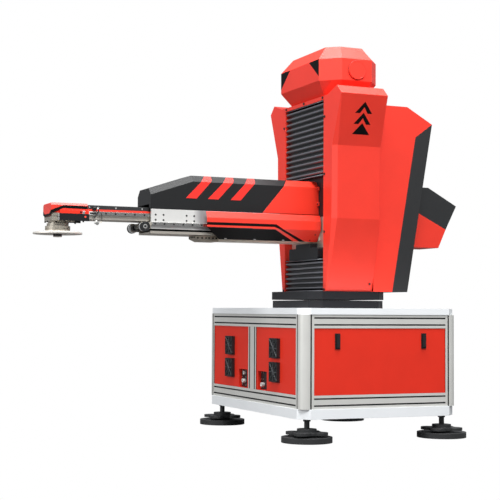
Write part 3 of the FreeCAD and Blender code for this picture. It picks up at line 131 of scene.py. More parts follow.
# Each look is named for the real finish; the arm's deeper charcoal and the darker milled metal are shaded copies,
# painted darker as painted shade.
looks = {
    # satin red powder coat: faint orange peel, a soft sheen from above
    "redCoat": {"colour": "EA3422", "roughness": 0.44, "grainMm": 2.2, "bump": 0.10, "ior": 1.5,
                "variation": 0.03, "sheen": 0.62, "edgeMm": 2.5},
    # moulded red cover: a little smoother and brighter than the coat
    "redCover": {"colour": "EE3420", "roughness": 0.38, "grainMm": 1.6, "bump": 0.06, "ior": 1.5,
                 "variation": 0.02, "sheen": 0.75, "edgeMm": 3.0},
    # flat red sheet of the cabinet panels
    "redSheet": {"colour": "E62F1A", "roughness": 0.5, "grainMm": 1.8, "bump": 0.08, "ior": 1.5,
                 "variation": 0.03, "sheen": 0.35, "edgeMm": 1.0},
    # charcoal cover with a fine moulded grain
    "charcoalCover": {"colour": "232425", "sheen": 0.35, "roughness": 0.42, "grainMm": 1.2, "bump": 0.16,
                      "ior": 1.5, "variation": 0.05, "edgeMm": 3.0},
    # the same cover on the arm, a deeper black: painted shade for its upright sides
    "charcoalArmShaded": {"colour": "202122", "sheen": 0.26, "roughness": 0.42, "grainMm": 1.2, "bump": 0.16,
                    "ior": 1.5, "variation": 0.05, "edgeMm": 3.0},
    # black enamel of the base plates, slightly blue in the light
    "blackEnamel": {"colour": "1A1B1E", "sheen": 0.28, "roughness": 0.40, "grainMm": 1.6, "bump": 0.10,
                    "ior": 1.5, "variation": 0.06, "edgeMm": 2.0},
    # black film for stripes and triangles, flatter than the paint under it
    "blackFilm": {"colour": "08090A", "sheen": 0.12, "roughness": 0.5, "grainMm": 0.9, "bump": 0.05, "ior": 1.5,
                  "edgeMm": 0.3},
    # red film of the arm's slanted stripes
    "redFilm": {"colour": "F4332A", "sheen": 0.35, "roughness": 0.42, "grainMm": 0.9, "bump": 0.05, "ior": 1.5,
                "edgeMm": 0.3},
    # moulded black plastic of guards, latches and clips
    "blackMould": {"colour": "1B1C1E", "roughness": 0.42, "grainMm": 0.8, "bump": 0.2, "ior": 1.49,
                   "variation": 0.08, "edgeMm": 1.2},
    # dusty ribs of the fan guards
    "guardRib": {"colour": "4C4F52", "roughness": 0.4, "grainMm": 0.8, "bump": 0.2, "ior": 1.49, "edgeMm": 0.8},
    # grey plastic of the drives
    "greyMould": {"colour": "6A6D70", "roughness": 0.5, "grainMm": 0.9, "bump": 0.2, "ior": 1.49,
                  "edgeMm": 1.5},
    # black rubber-like cast feet
    "blackCast": {"colour": "292A2B", "roughness": 0.5, "grainMm": 2.0, "bump": 0.25, "bumpMm": 0.2,
                  "ior": 1.52, "variation": 0.10, "edgeMm": 3.0},
    # pale grey painted steel plates
    "paleCoat": {"colour": "F3F6F8", "roughness": 0.45, "grainMm": 2.0, "bump": 0.08, "ior": 1.5,
                 "variation": 0.02, "edgeMm": 2.0},
    # natural anodised extrusion: even, soft metal drawn along its length
    "anodised": {"colour": "DFDFDA", "roughness": 0.42, "grainMm": 3.0, "stretch": (0.1, 0.1, 1), "bump": 0.05,
                 "metallic": 0.3, "variation": 0.03, "edgeMm": 0.8},
    # brushed side plates of the arm, almost white in the light
    "satinPlate": {"colour": "DEDEDB", "roughness": 0.38, "grainMm": 2.0, "stretch": (0.05, 1, 1), "bump": 0.10,
                   "metallic": 0.3, "variation": 0.05, "edgeMm": 0.8},
    # milled aluminium of the arm: faint cutter lines along X
    "milled": {"colour": "E2DBCF", "roughness": 0.36, "grainMm": 2.0, "stretch": (0.06, 1, 1), "bump": 0.12,
               "metallic": 0.8, "variation": 0.05, "edgeMm": 0.8},
    # milled aluminium a shade darker and warmer than the front beam: painted shade for the block under the base
    # beam's front end, which sits in the beams' shade
    "milledPaintedShade": {"colour": "C2B8A9", "roughness": 0.38, "grainMm": 2.0, "stretch": (0.06, 1, 1),
                    "bump": 0.12, "metallic": 0.8, "variation": 0.05, "edgeMm": 0.8},
    # tool disc, faced bright
    "facedDisc": {"colour": "F0EBE2", "roughness": 0.42, "grainMm": 1.4, "stretch": (1, 1, 0.1), "bump": 0.08,
                  "metallic": 0.35, "variation": 0.03, "edgeMm": 1.2},
    # turned aluminium of the wrist
    "turned": {"colour": "A8A296", "roughness": 0.40, "grainMm": 1.4, "stretch": (1, 1, 0.1), "bump": 0.1,
               "metallic": 0.6, "variation": 0.04, "edgeMm": 1.2},
    # ground rail steel
    "ground": {"colour": "BFBEBA", "roughness": 0.26, "grainMm": 1.0, "stretch": (0.08, 1, 1), "bump": 0.08,
               "metallic": 1.0, "variation": 0.04, "edgeMm": 0.6},
    # dark cast housings of the motors
    "darkCast": {"colour": "3A3C3F", "roughness": 0.55, "grainMm": 1.5, "bump": 0.3, "metallic": 0.4,
                 "edgeMm": 2.0},
    # pleated film of the bellows: glossy folds, their pale crests painted on as a painted highlight
    "bellowsFilm": {"colour": "17181A", "roughness": 0.30, "grainMm": 1.5, "bump": 0.12, "ior": 1.5,
                    "coat": 0.5, "coatRoughness": 0.2, "variation": 0.1, "edgeMm": 2.0},
    # blackened socket screws, which read as dark dots
    "blackOxide": {"colour": "0C0D0E", "roughness": 0.4, "grainMm": 0.6, "bump": 0.08, "metallic": 0.4,
                   "edgeMm": 0.4},
    # grey nylon of the cable clips
    "clipGrey": {"colour": "B4B5B4", "roughness": 0.45, "grainMm": 0.6, "bump": 0.1, "ior": 1.49,
                 "edgeMm": 0.5},
    # dark screws of the casings
    "screwSteel": {"colour": "3B3C3E", "roughness": 0.32, "grainMm": 0.6, "bump": 0.08, "metallic": 0.9,
                   "edgeMm": 0.6},
    # bright zinc-plated steel
    "zincSteel": {"colour": "D6D6D2", "roughness": 0.28, "grainMm": 0.6, "bump": 0.08, "metallic": 0.9,
                  "edgeMm": 0.6},
    # unlit inside of slots and seams
    "slotDark": {"colour": "0A0B0D", "roughness": 0.6, "grainMm": 0.8, "bump": 0.1, "ior": 1.5, "edgeMm": 0.3},
    # rubber of the drive belt
    "beltRubber": {"colour": "151515", "roughness": 0.65, "grainMm": 0.7, "bump": 0.2, "ior": 1.52,
                   "edgeMm": 0.5},
    # cable sheaths, black and cream
    "sheathBlack": {"colour": "161719", "roughness": 0.5, "grainMm": 0.6, "bump": 0.15, "ior": 1.5,
                    "edgeMm": 0.3},
    "sheathPale": {"colour": "D9D0BE", "roughness": 0.5, "grainMm": 0.6, "bump": 0.15, "ior": 1.5,
                   "edgeMm": 0.3},
    # red lens of the indicator
    "redDot": {"colour": "F0563C", "roughness": 0.35, "grainMm": 0.5, "bump": 0.05, "ior": 1.5, "edgeMm": 0.3},
    # white nylon of plugs and nuts
    "clipWhite": {"colour": "E4E4E0", "roughness": 0.45, "grainMm": 0.6, "bump": 0.1, "ior": 1.49,
                  "edgeMm": 0.5},
}
materials = {name: finishMaterial(name, look) for name, look in looks.items()}


# A copied finish, ready to be painted over: its tree, its shader and the part's own coordinates
def copyFinish(source, name):
    material = materials[source].copy()
    material.name = name
    tree = material.node_tree
    shader = next(node for node in tree.nodes if node.type == "BSDF_PRINCIPLED")
    place = addNode(tree, "ShaderNodeTexCoord").outputs["Object"]
    return material, tree, shader, place


# One where the place lies beyond every one of the planes, each a normal and its offset in metres
def beyondAll(tree, place, planes):
    mask = None
    for normal, offset in planes:
        dot = addNode(tree, "ShaderNodeVectorMath", {0: place}, {1: normal}, operation="DOT_PRODUCT")
        test = addNode(tree, "ShaderNodeMath", {0: dot.outputs["Value"]}, {1: offset},
                       operation="GREATER_THAN").outputs[0]
        mask = test if mask is None else addNode(tree, "ShaderNodeMath", {0: mask, 1: test},
                                                 operation="MULTIPLY").outputs[0]
    return mask


# Paints a second colour, a socket or a hex value, over the shader's own where the mask says so.
def paintOver(tree, shader, mask, colour):
    old = shader.inputs["Base Color"].links[0].from_socket
    if isinstance(colour, str):
        mix = addNode(tree, "ShaderNodeMix", {0: mask, 6: old}, {7: linear(colour)}, data_type="RGBA")
    else:
        mix = addNode(tree, "ShaderNodeMix", {0: mask, 6: old, 7: colour}, data_type="RGBA")
    tree.links.new(mix.outputs[2], shader.inputs["Base Color"])


# A two-tone finish: the second look shows where the face lies beyond a line in the part's frame.
def splitMaterial(name, first, second, planes):
    material, tree, shader, place = copyFinish(first, name)
    paintOver(tree, shader, beyondAll(tree, place, planes), patchyColour(tree, finished(looks[second])))
    return material


def dress(name, look):
    node = nodes[name]
    node.data.materials.clear()
    node.data.materials.append(look)
    for face in node.data.polygons:
        face.material_index = 0


# The look of each CAD node that has one finish all over
plainLooks = {
    "levelling_feet": "blackCast", "cabinet_plates": "paleCoat", "plain_panels": "redSheet",
    "latch_lever_left": "blackMould", "latch_lever_right": "blackMould", "connectors": "zincSteel",
    "fan_housings": "blackMould", "fan_rotor_near": "blackMould", "fan_rotor_far": "blackMould",
    "servo_drives": "greyMould", "swing_gearmotor": "darkCast", "base_plate_lower": "blackEnamel",
    "bearing_outer_ring": "ground", "swing_hub": "ground", "base_plate_upper": "blackEnamel",
    "column_pillars": "anodised", "lift_rails": "ground", "column_top_plate": "redCoat",
    "column_shells": "redCoat", "column_screws": "screwSteel", "head_housing": "redCoat",
    "lift_motor": "darkCast", "lift_screw": "ground", "carriage_plate_upper": "blackEnamel",
    "carriage_plate_lower": "milled", "guide_blocks": "ground", "lift_nut": "ground",
    "arm_bracket": "blackEnamel", "arm_beams": "milled", "arm_cover": "charcoalArmShaded",
    "root_cover": "redCover", "base_beam": "milled", "guide_frames": "milled", "extension_motor": "darkCast",
    "extension_screw": "ground", "mid_rails": "ground",
    "front_blocks": "ground", "drive_belt": "beltRubber", "rear_pulley": "ground",
    "front_beam": "milled", "front_rails": "ground",
    "fan_panels": "redSheet", "front_pulley_shaft": "ground", "nose_cover": "redCover",
    "wrist_gearbox": "turned", "wrist_hub": "turned", "tool_disc": "facedDisc",
}
for nodeName, lookName in plainLooks.items():
    dress(nodeName, materials[lookName])


# A line through two points of the XZ plane, in millimetres, as a half-space test in metres.
def beyond(start, end, keep):
    (x0, z0), (x1, z1), (kx, kz) = start, end, keep
    normal = Vector((z1 - z0, 0, x0 - x1)).normalized()
    offset = normal.x * x0 + normal.z * z0
    if normal.x * kx + normal.z * kz < offset:
        normal, offset = -normal, -offset
    return tuple(normal), offset / 1000


# Where two-tone pieces change colour and where shade is painted on: material, first look, second look and the
# planes it lies beyond, in metres
midGroove = [((0, 0, 1), 1.2402), ((0, 0, -1), -1.2515)]
twoToneAndShade = {
    "rear_cover": ("rearCoverTwoTone", "redCoat", "charcoalCover", [
        beyond((289, 886), (460, 1878), (600, 1000)), beyond((460, 1878), (583, 1968), (600, 1000))]),
    "tail_cover": ("tailCoverTwoTone", "redCover", "charcoalCover", [
        beyond((620, 1409), (824, 1310), (700, 1500))]),
    "cable_cover": ("cableCoverTwoTone", "redCover", "charcoalCover", [((0, 0, 1), 1.358)]),
    "latch_panel": ("latchPanelTwoTone", "redSheet", "blackMould", [((0, -1, 0), 0.7115)]),
    "wrist_bracket": ("wristBracketTwoTone", "blackEnamel", "redCover", [((0, 0, 1), 1.3275)]),
    "lower_covers": ("lowerCoverTwoTone", "redCover", "charcoalArmShaded", [((0, 0, -1), -1.2712), ((-1, 0, 0), 0.6)]),
    # the block at the base beam's front end, beyond X = -784 mm: painted shade
    "base_beam": ("baseBeamPaintedShade", "milled", "milledPaintedShade", [((-1, 0, 0), 0.784)]),
    # the groove along the far side of the middle beam, painted dark: painted shade
    "mid_beam": ("midBeamGrooveShade", "midBeamNearGrooveShade", "slotDark", [*midGroove, ((0, 1, 0), 0.1045)]),
}
# The groove along the near side of the middle beam, painted dark: painted shade.
materials["midBeamNearGrooveShade"] = splitMaterial("midBeamNearGrooveShade", "milled", "slotDark", [*midGroove, ((0, -1, 0), 0.1045)])
for nodeName, tones in twoToneAndShade.items():
    dress(nodeName, splitMaterial(*tones))

# The side plates are painted a darker bluish grey where they slide under the lower covers: a painted shadow and
# reflection of the covers.
coverShadow = {"colour": "7C7E82", "startX": -0.975, "endX": -0.925, "strength": 0.75}


def coverShadowMaterial():
    material, tree, shader, place = copyFinish("satinPlate", "satinCoverShadow")
    split = addNode(tree, "ShaderNodeSeparateXYZ", {0: place})
    shadowMask = ramp(tree, split.outputs[0], coverShadow["startX"], coverShadow["endX"], 0.0, coverShadow["strength"])
    paintOver(tree, shader, shadowMask, coverShadow["colour"])
    return material


dress("mid_side_plates", coverShadowMaterial())

# The extrusion's slots are painted dark inside as painted shade; the rounded corners stay bright.
slotPlanes = [((-1, 0, 0), -0.5247), ((0, -1, 0), -0.7147), ((-1, -1, 0), -1.19)]


def slotShadeMaterial():
    material, tree, shader, place = copyFinish("anodised", "anodisedSlotShade")
    folded = addNode(tree, "ShaderNodeVectorMath", {0: place}, operation="ABSOLUTE").outputs[0]
    mask = beyondAll(tree, folded, slotPlanes)
    paintOver(tree, shader, mask, looks["slotDark"]["colour"])
    metal = addNode(tree, "ShaderNodeMath", {1: mask}, {0: looks["anodised"]["metallic"]}, operation="SUBTRACT",
                    use_clamp=True)
    tree.links.new(metal.outputs[0], shader.inputs["Metallic"])
    return material


dress("cabinet_frame", slotShadeMaterial())

# Crests of the bellows are painted pale where they fold: a painted highlight.
crestHighlight = {"colour": "6A6C74", "startX": -0.1605, "endX": -0.1650, "strength": 0.8}


def bellowsHighlightMaterial():
    material, tree, shader, place = copyFinish("bellowsFilm", "bellowsCrestHighlight")
    split = addNode(tree, "ShaderNodeSeparateXYZ", {0: place})
    crest = ramp(tree, split.outputs[0], crestHighlight["startX"], crestHighlight["endX"], 0.0, crestHighlight["strength"])
    paintOver(tree, shader, crest, crestHighlight["colour"])
    return material


crestHighlightLook = bellowsHighlightMaterial()
print("stage: CAD nodes dressed")


# A finished bmesh as a visible piece of the scene
def placeMesh(name, bm, look=None):
    mesh = bpy.data.meshes.new(name)
    bm.normal_update()
    bm.to_mesh(mesh)
    bm.free()
    piece = bpy.data.objects.new(name, mesh)
    scene.collection.objects.link(piece)
    if look is not None:
        mesh.materials.append(materials[look] if isinstance(look, str) else look)
    return piece


def toMesh(name, bm, look, body):
    piece = placeMesh(name, bm, look)
    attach(piece, body)
    return piece


# Thin film on a flat face: corners in millimetres, lifted off the face by a hair and sunk a little below it
filmLift = 0.5
filmSink = 0.2


def film(name, outlines, lift, look, body, mirrored=False):
    bm = bmesh.new()
    shift = Vector(lift) / 1000
    for outline in outlines:
        copies = [outline]
        if mirrored:
            copies.append([(x, -y, z) for x, y, z in outline])
        for index, corners in enumerate(copies):
            push = Vector((shift.x, -shift.y if index else shift.y, shift.z))
            outer = [bm.verts.new(Vector(c) / 1000 + push) for c in corners]
            inner = [bm.verts.new(Vector(c) / 1000 - push * filmSink) for c in corners]
            bm.faces.new(outer)
            bm.faces.new(list(reversed(inner)))
            for k in range(len(corners)):
                after = (k + 1) % len(corners)
                bm.faces.new([outer[after], outer[k], inner[k], inner[after]])
    bmesh.ops.recalc_face_normals(bm, faces=bm.faces)
    return toMesh(name, bm, look, body)


# Three slanted stripes over the upper arm cover, side and bevel
stripes = {"bottomZ": 1445, "foldZ": 1548, "topZ": 1588, "sideY": 122, "crownY": 82, "bend": 16, "bendX": 12,
           "bottoms": [(-1024, -954), (-880, -811), (-729, -662)],
           "folds": [(-924, -862), (-779, -716), (-633, -571)],
           "tops": [(-889, -848), (-743, -699), (-599, -556)]}
sideStripes = []
bevelStripes = []
for (b0, b1), (f0, f1), (t0, t1) in zip(stripes["bottoms"], stripes["folds"], stripes["tops"]):
    side, crown = -stripes["sideY"], -stripes["crownY"]
    sideStripes.append([(b0, side, stripes["bottomZ"]), (b1, side, stripes["bottomZ"]),
                        (f1, side, stripes["foldZ"]), (f0, side, stripes["foldZ"])])
    bevelStripes.append([(f0, side, stripes["foldZ"]), (f1, side, stripes["foldZ"]),
                         (f1 + stripes["bendX"], side + stripes["bend"], stripes["foldZ"] + stripes["bend"]),
                         (t1, crown, stripes["topZ"]), (t0, crown, stripes["topZ"])])
film("arm_stripes_side", sideStripes, (0, -filmLift, 0), "redFilm", "carriage", mirrored=True)
film("arm_stripes_bevel", bevelStripes, (0, -filmLift, filmLift), "redFilm", "carriage", mirrored=True)

# Arrows on the leaning shoulder panels: two chevrons over a triangle
arrows = {"chestZ": 1787, "chestY": 422, "lean": 98 / 308, "stroke": 24, "slant": 1.35, "dropShare": 0.3,
          "chevrons": [(4, 2051, 59, 69), (4, 1986, 59, 69)], "triangle": (4, 1924, 60, 68)}


def onShoulder(x, z):
    return (x, -(arrows["chestY"] + arrows["lean"] * (z - arrows["chestZ"])), z)


arrowFilms = []
for apexX, apexZ, reach, drop in arrows["chevrons"]:
    stroke = arrows["stroke"] * arrows["slant"]
    for way in (-1, 1):
        arrowFilms.append([onShoulder(apexX, apexZ), onShoulder(apexX + way * reach, apexZ - drop),
                           onShoulder(apexX + way * (reach - stroke), apexZ - drop),
                           onShoulder(apexX, apexZ - stroke)])
apexX, apexZ, reach, drop = arrows["triangle"]
arrowFilms.append([onShoulder(apexX, apexZ), onShoulder(apexX + reach, apexZ - drop),
                   onShoulder(apexX - reach, apexZ - drop)])
film("shoulder_arrows", arrowFilms, (0, -filmLift, -filmLift * arrows["dropShare"]), "blackFilm", "column",
     mirrored=True)

# Black triangles at the corners of the head's front face
headTriangle = {"faceX": -203, "cornerY": 279, "innerY": 140, "topZ": 2340, "lowZ": 2230}
film("head_triangles", [[(headTriangle["faceX"], headTriangle["cornerY"], headTriangle["topZ"]),
                         (headTriangle["faceX"], headTriangle["innerY"], headTriangle["topZ"]),
                         (headTriangle["faceX"], headTriangle["cornerY"], headTriangle["lowZ"])]],
     (-filmLift, 0, 0), "blackFilm", "column", mirrored=True)

# Black band and underside of the lower covers: along the side, then slanting down across the waist
band = {"sideY": 172, "waistZ": 1272, "lowY": 117, "lowZ": 1201, "frontX": -904, "topZ": 1301, "footZ": 1284,
        "bendTopX": -440, "bendFootX": -425, "bendHeelX": -452, "waistX": (-419, -392), "lowX": (-256, -216),
        "waistGap": 0.5, "panelX": (-901, -446, -299, -803), "panelZ": 1269, "dropShare": 0.8}


def onUnderside(x, z):
    share = (z - band["lowZ"]) / (band["waistZ"] - band["lowZ"])
    return (x, -(band["lowY"] + share * (band["sideY"] - band["lowY"])), z)


def onSide(x, z):
    return (x, -band["sideY"], z)


(waistFront, waistRear), (lowFront, lowRear) = band["waistX"], band["lowX"]
film("lower_band_side", [
    [onSide(band["frontX"], band["topZ"]), onSide(band["bendTopX"], band["topZ"]),
     onSide(band["bendFootX"], band["footZ"]), onSide(band["frontX"], band["footZ"])],
    [onSide(band["bendTopX"], band["topZ"]), onSide(waistRear, band["waistZ"]),
     onSide(waistFront, band["waistZ"]), onSide(band["bendHeelX"], band["footZ"]),
     onSide(band["bendFootX"], band["footZ"])]],
     (0, -filmLift, 0), "blackFilm", "carriage", mirrored=True)
underWaist = band["waistZ"] - band["waistGap"]
panelFront, panelRear, panelLowRear, panelLowFront = band["panelX"]
film("lower_band_underside", [
    [onUnderside(waistRear, underWaist), onUnderside(lowRear, band["lowZ"]),
     onUnderside(lowFront, band["lowZ"]), onUnderside(waistFront, underWaist)],
    [onUnderside(panelFront, band["panelZ"]), onUnderside(panelRear, band["panelZ"]),
     onUnderside(panelLowRear, band["lowZ"]), onUnderside(panelLowFront, band["lowZ"])]],
     (0, -filmLift, -filmLift * band["dropShare"]), "blackFilm", "carriage", mirrored=True)

# Black band on the nose cover, bent down to its front corner and round the shield's lower edge
nose = {"sideY": 91, "frontX": -1852, "rear": ((-1632, 1373), (-1632, 1356)),
        "bend": ((-1775, 1376), (-1778, 1358)), "cornerZ": (1345, 1324), "shieldY": (52, 61),
        "shieldZ": (1326, 1312)}
(rearHigh, rearLow), (bendHigh, bendLow) = nose["rear"], nose["bend"]
cornerHigh, cornerLow = ((nose["frontX"], z) for z in nose["cornerZ"])


def onCheek(spot):
    return (spot[0], -nose["sideY"], spot[1])


def onShield(y, z):
    return (nose["frontX"], y, z)


film("nose_band", [[onCheek(rearHigh), onCheek(bendHigh), onCheek(bendLow), onCheek(rearLow)],
                   [onCheek(bendHigh), onCheek(bendLow), onCheek(cornerLow), onCheek(cornerHigh)]],
     (0, -filmLift, 0), "blackFilm", "front_stage", mirrored=True)
(innerY, outerY), (innerZ, outerZ), (highZ, lowZ) = nose["shieldY"], nose["shieldZ"], nose["cornerZ"]
edgeY = nose["sideY"]
film("shield_band", [
    [onShield(-edgeY, highZ), onShield(-edgeY, lowZ), onShield(-outerY, outerZ), onShield(-innerY, innerZ)],
    [onShield(-innerY, innerZ), onShield(-outerY, outerZ), onShield(outerY, outerZ), onShield(innerY, innerZ)],
    [onShield(innerY, innerZ), onShield(outerY, outerZ), onShield(edgeY, lowZ), onShield(edgeY, highZ)]],
     (-filmLift, 0, 0), "blackFilm", "front_stage")
print("stage: films laid")


# Small hardware: boxes, rods and rings in millimetres, gathered into one piece per kind and body
def addBox(bm, low, high, soften=0.0):
    made = bmesh.ops.create_cube(bm, size=1.0)["verts"]
    centre = [(a + b) / 2000 for a, b in zip(low, high)]
    size = [abs(b - a) / 1000 for a, b in zip(low, high)]
    for vert in made:
        vert.co = Vector((centre[k] + vert.co[k] * size[k] for k in range(3)))
    if soften:
        edges = {edge for vert in made for edge in vert.link_edges}
        bmesh.ops.bevel(bm, geom=list(edges), offset=soften / 1000, segments=2, profile=0.5, affect="EDGES")


def addRod(bm, start, axis, radius, length, sides=24):
    direction = Vector(axis).normalized()
    turn = direction.to_track_quat("Z", "Y").to_matrix().to_4x4()
    place = Matrix.Translation(Vector(start) / 1000 + direction * length / 2000) @ turn
    bmesh.ops.create_cone(bm, cap_ends=True, segments=sides, radius1=radius / 1000,
                          radius2=radius / 1000, depth=length / 1000, matrix=place)


def addRing(bm, centre, axis, outer, inner, length, sides=40):
    direction = Vector(axis).normalized()
    turn = direction.to_track_quat("Z", "Y").to_matrix()
    loops = []
    for radius, lift in ((outer, 0), (outer, length), (inner, length), (inner, 0)):
        loops.append([bm.verts.new(Vector(centre) / 1000 + turn @ Vector((
            radius * math.cos(2 * math.pi * k / sides), radius * math.sin(2 * math.pi * k / sides), lift)) / 1000)
            for k in range(sides)])
    for j in range(4):
        lower, upper = loops[j], loops[(j + 1) % 4]
        for k in range(sides):
            after = (k + 1) % sides
            bm.faces.new([lower[k], lower[after], upper[after], upper[k]])


def hardware(name, look, body, boxes=(), rods=(), rings=(), mirrored=False, soften=0.0):
    bm = bmesh.new()
    for way in ((1, -1) if mirrored else (1,)):
        for low, high in boxes:
            addBox(bm, (low[0], low[1] * way, low[2]), (high[0], high[1] * way, high[2]), soften)
        for start, axis, radius, length in rods:
            addRod(bm, (start[0], start[1] * way, start[2]), (axis[0], axis[1] * way, axis[2]), radius, length)
        for centre, axis, outer, inner, length in rings:
            addRing(bm, (centre[0], centre[1] * way, centre[2]), (axis[0], axis[1] * way, axis[2]),
                    outer, inner, length)
    bmesh.ops.recalc_face_normals(bm, faces=bm.faces)
    return toMesh(name, bm, look, body)


# Bellows: rounded glossy pleats in place of the CAD bellows, which are hidden
pleats = {"crestX": -165, "valleyX": -143, "half": 275, "skin": 1.6, "hem": 4, "ribs": 10, "ribPitch": 50,
          "barHeight": 7, "barX": (-164.5, -118), "joinX": -0.15,
          "upper": (1612.3, 2085.7, 13), "lower": (887.3, 1091.7, 6),
          "section": ((0.0, 0.0), (0.12, 0.35), (0.36, 0.93), (0.5, 1.0), (0.64, 0.93), (0.88, 0.35))}


def pleatedSheet(name, low, high, count):
    bm = bmesh.new()
    rise = (high - low - 2 * pleats["barHeight"]) / count
    line = []
    for step in range(count):
        base = low + pleats["barHeight"] + rise * step
        for share, reach in pleats["section"]:
            x = pleats["valleyX"] + (pleats["crestX"] - pleats["valleyX"]) * reach
            line.append((x, base + rise * share))
    line.append((pleats["valleyX"], high - pleats["barHeight"]))
    half, hem, pitch = pleats["half"], pleats["hem"], pleats["ribPitch"]
    firstRib = -pitch * (pleats["ribs"] - 1) / 2
    widths = [-half, -half + hem, *(firstRib + pitch * k for k in range(pleats["ribs"])), half - hem, half]
    front, back = [], []
    for x, z in line:
        front.append([bm.verts.new((x / 1000, y / 1000, z / 1000)) for y in widths])
        back.append([bm.verts.new(((x + pleats["skin"]) / 1000, y / 1000, z / 1000)) for y in widths])
    for row in range(len(line) - 1):
        for k in range(len(widths) - 1):
            bm.faces.new([front[row][k], front[row + 1][k], front[row + 1][k + 1], front[row][k + 1]])
            bm.faces.new([back[row][k], back[row][k + 1], back[row + 1][k + 1], back[row + 1][k]])
        for k in (0, -1):
            bm.faces.new([front[row][k], back[row][k], back[row + 1][k], front[row + 1][k]])
    for row in (0, -1):
        for k in range(len(widths) - 1):
            bm.faces.new([front[row][k], front[row][k + 1], back[row][k + 1], back[row][k]])
    for bottom in (low, high - pleats["barHeight"]):
        barFront, barRear = pleats["barX"]
        addBox(bm, (barFront, -half, bottom), (barRear, half, bottom + pleats["barHeight"]))
    bmesh.ops.recalc_face_normals(bm, faces=bm.faces)
    piece = placeMesh(name, bm, crestHighlightLook)
    for face in piece.data.polygons:
        face.use_smooth = abs(face.normal.y) < 0.5 and face.area < 0.01
    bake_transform(piece)
    return piece


upperLow, upperHigh, upperCount = pleats["upper"]
upperPleats = pleatedSheet("bellows_upper_pleats", upperLow, upperHigh, upperCount)
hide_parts("bellows_upper")
lowerLow, lowerHigh, lowerCount = pleats["lower"]
lowerPleats = pleatedSheet("bellows_lower_pleats", lowerLow, lowerHigh, lowerCount)
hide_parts("bellows_lower")
print("stage: bellows folded")

# Ways that screws, rings and plugs face
nearWay, farWay, frontWay, upWay, downWay = (0, -1, 0), (0, 1, 0), (-1, 0, 0), (0, 0, 1), (0, 0, -1)


# Screw heads of one kind, all facing one way
def heads(places, way, radius, height):
    return [(place, way, radius, height) for place in places]


def placeFittings(fittings):
    for name, fitting in fittings.items():
        hardware(name, **fitting)


# Fittings, one dictionary each, in millimetres: a box is its low and high corner, a rod is its start, way, radius
# and length, and a ring is its centre, way, outer radius, inner radius and length.
railPitch = 60
wheel = {"x": -1285, "z": 1264, "tyreY": -116, "faceY": -131, "housingY": -108.3, "nutY": -94.6}
wrist = {"x": -1787, "flangeZ": 1283.5, "flangeRadius": 74, "flangeScrews": 8}


def atWheel(y):
    return (wheel["x"], y, wheel["z"])


def onFlange(k):
    angle = 2 * math.pi * (k + 0.5) / wrist["flangeScrews"]
    return (wrist["x"] + wrist["flangeRadius"] * math.cos(angle), wrist["flangeRadius"] * math.sin(angle),
            wrist["flangeZ"])


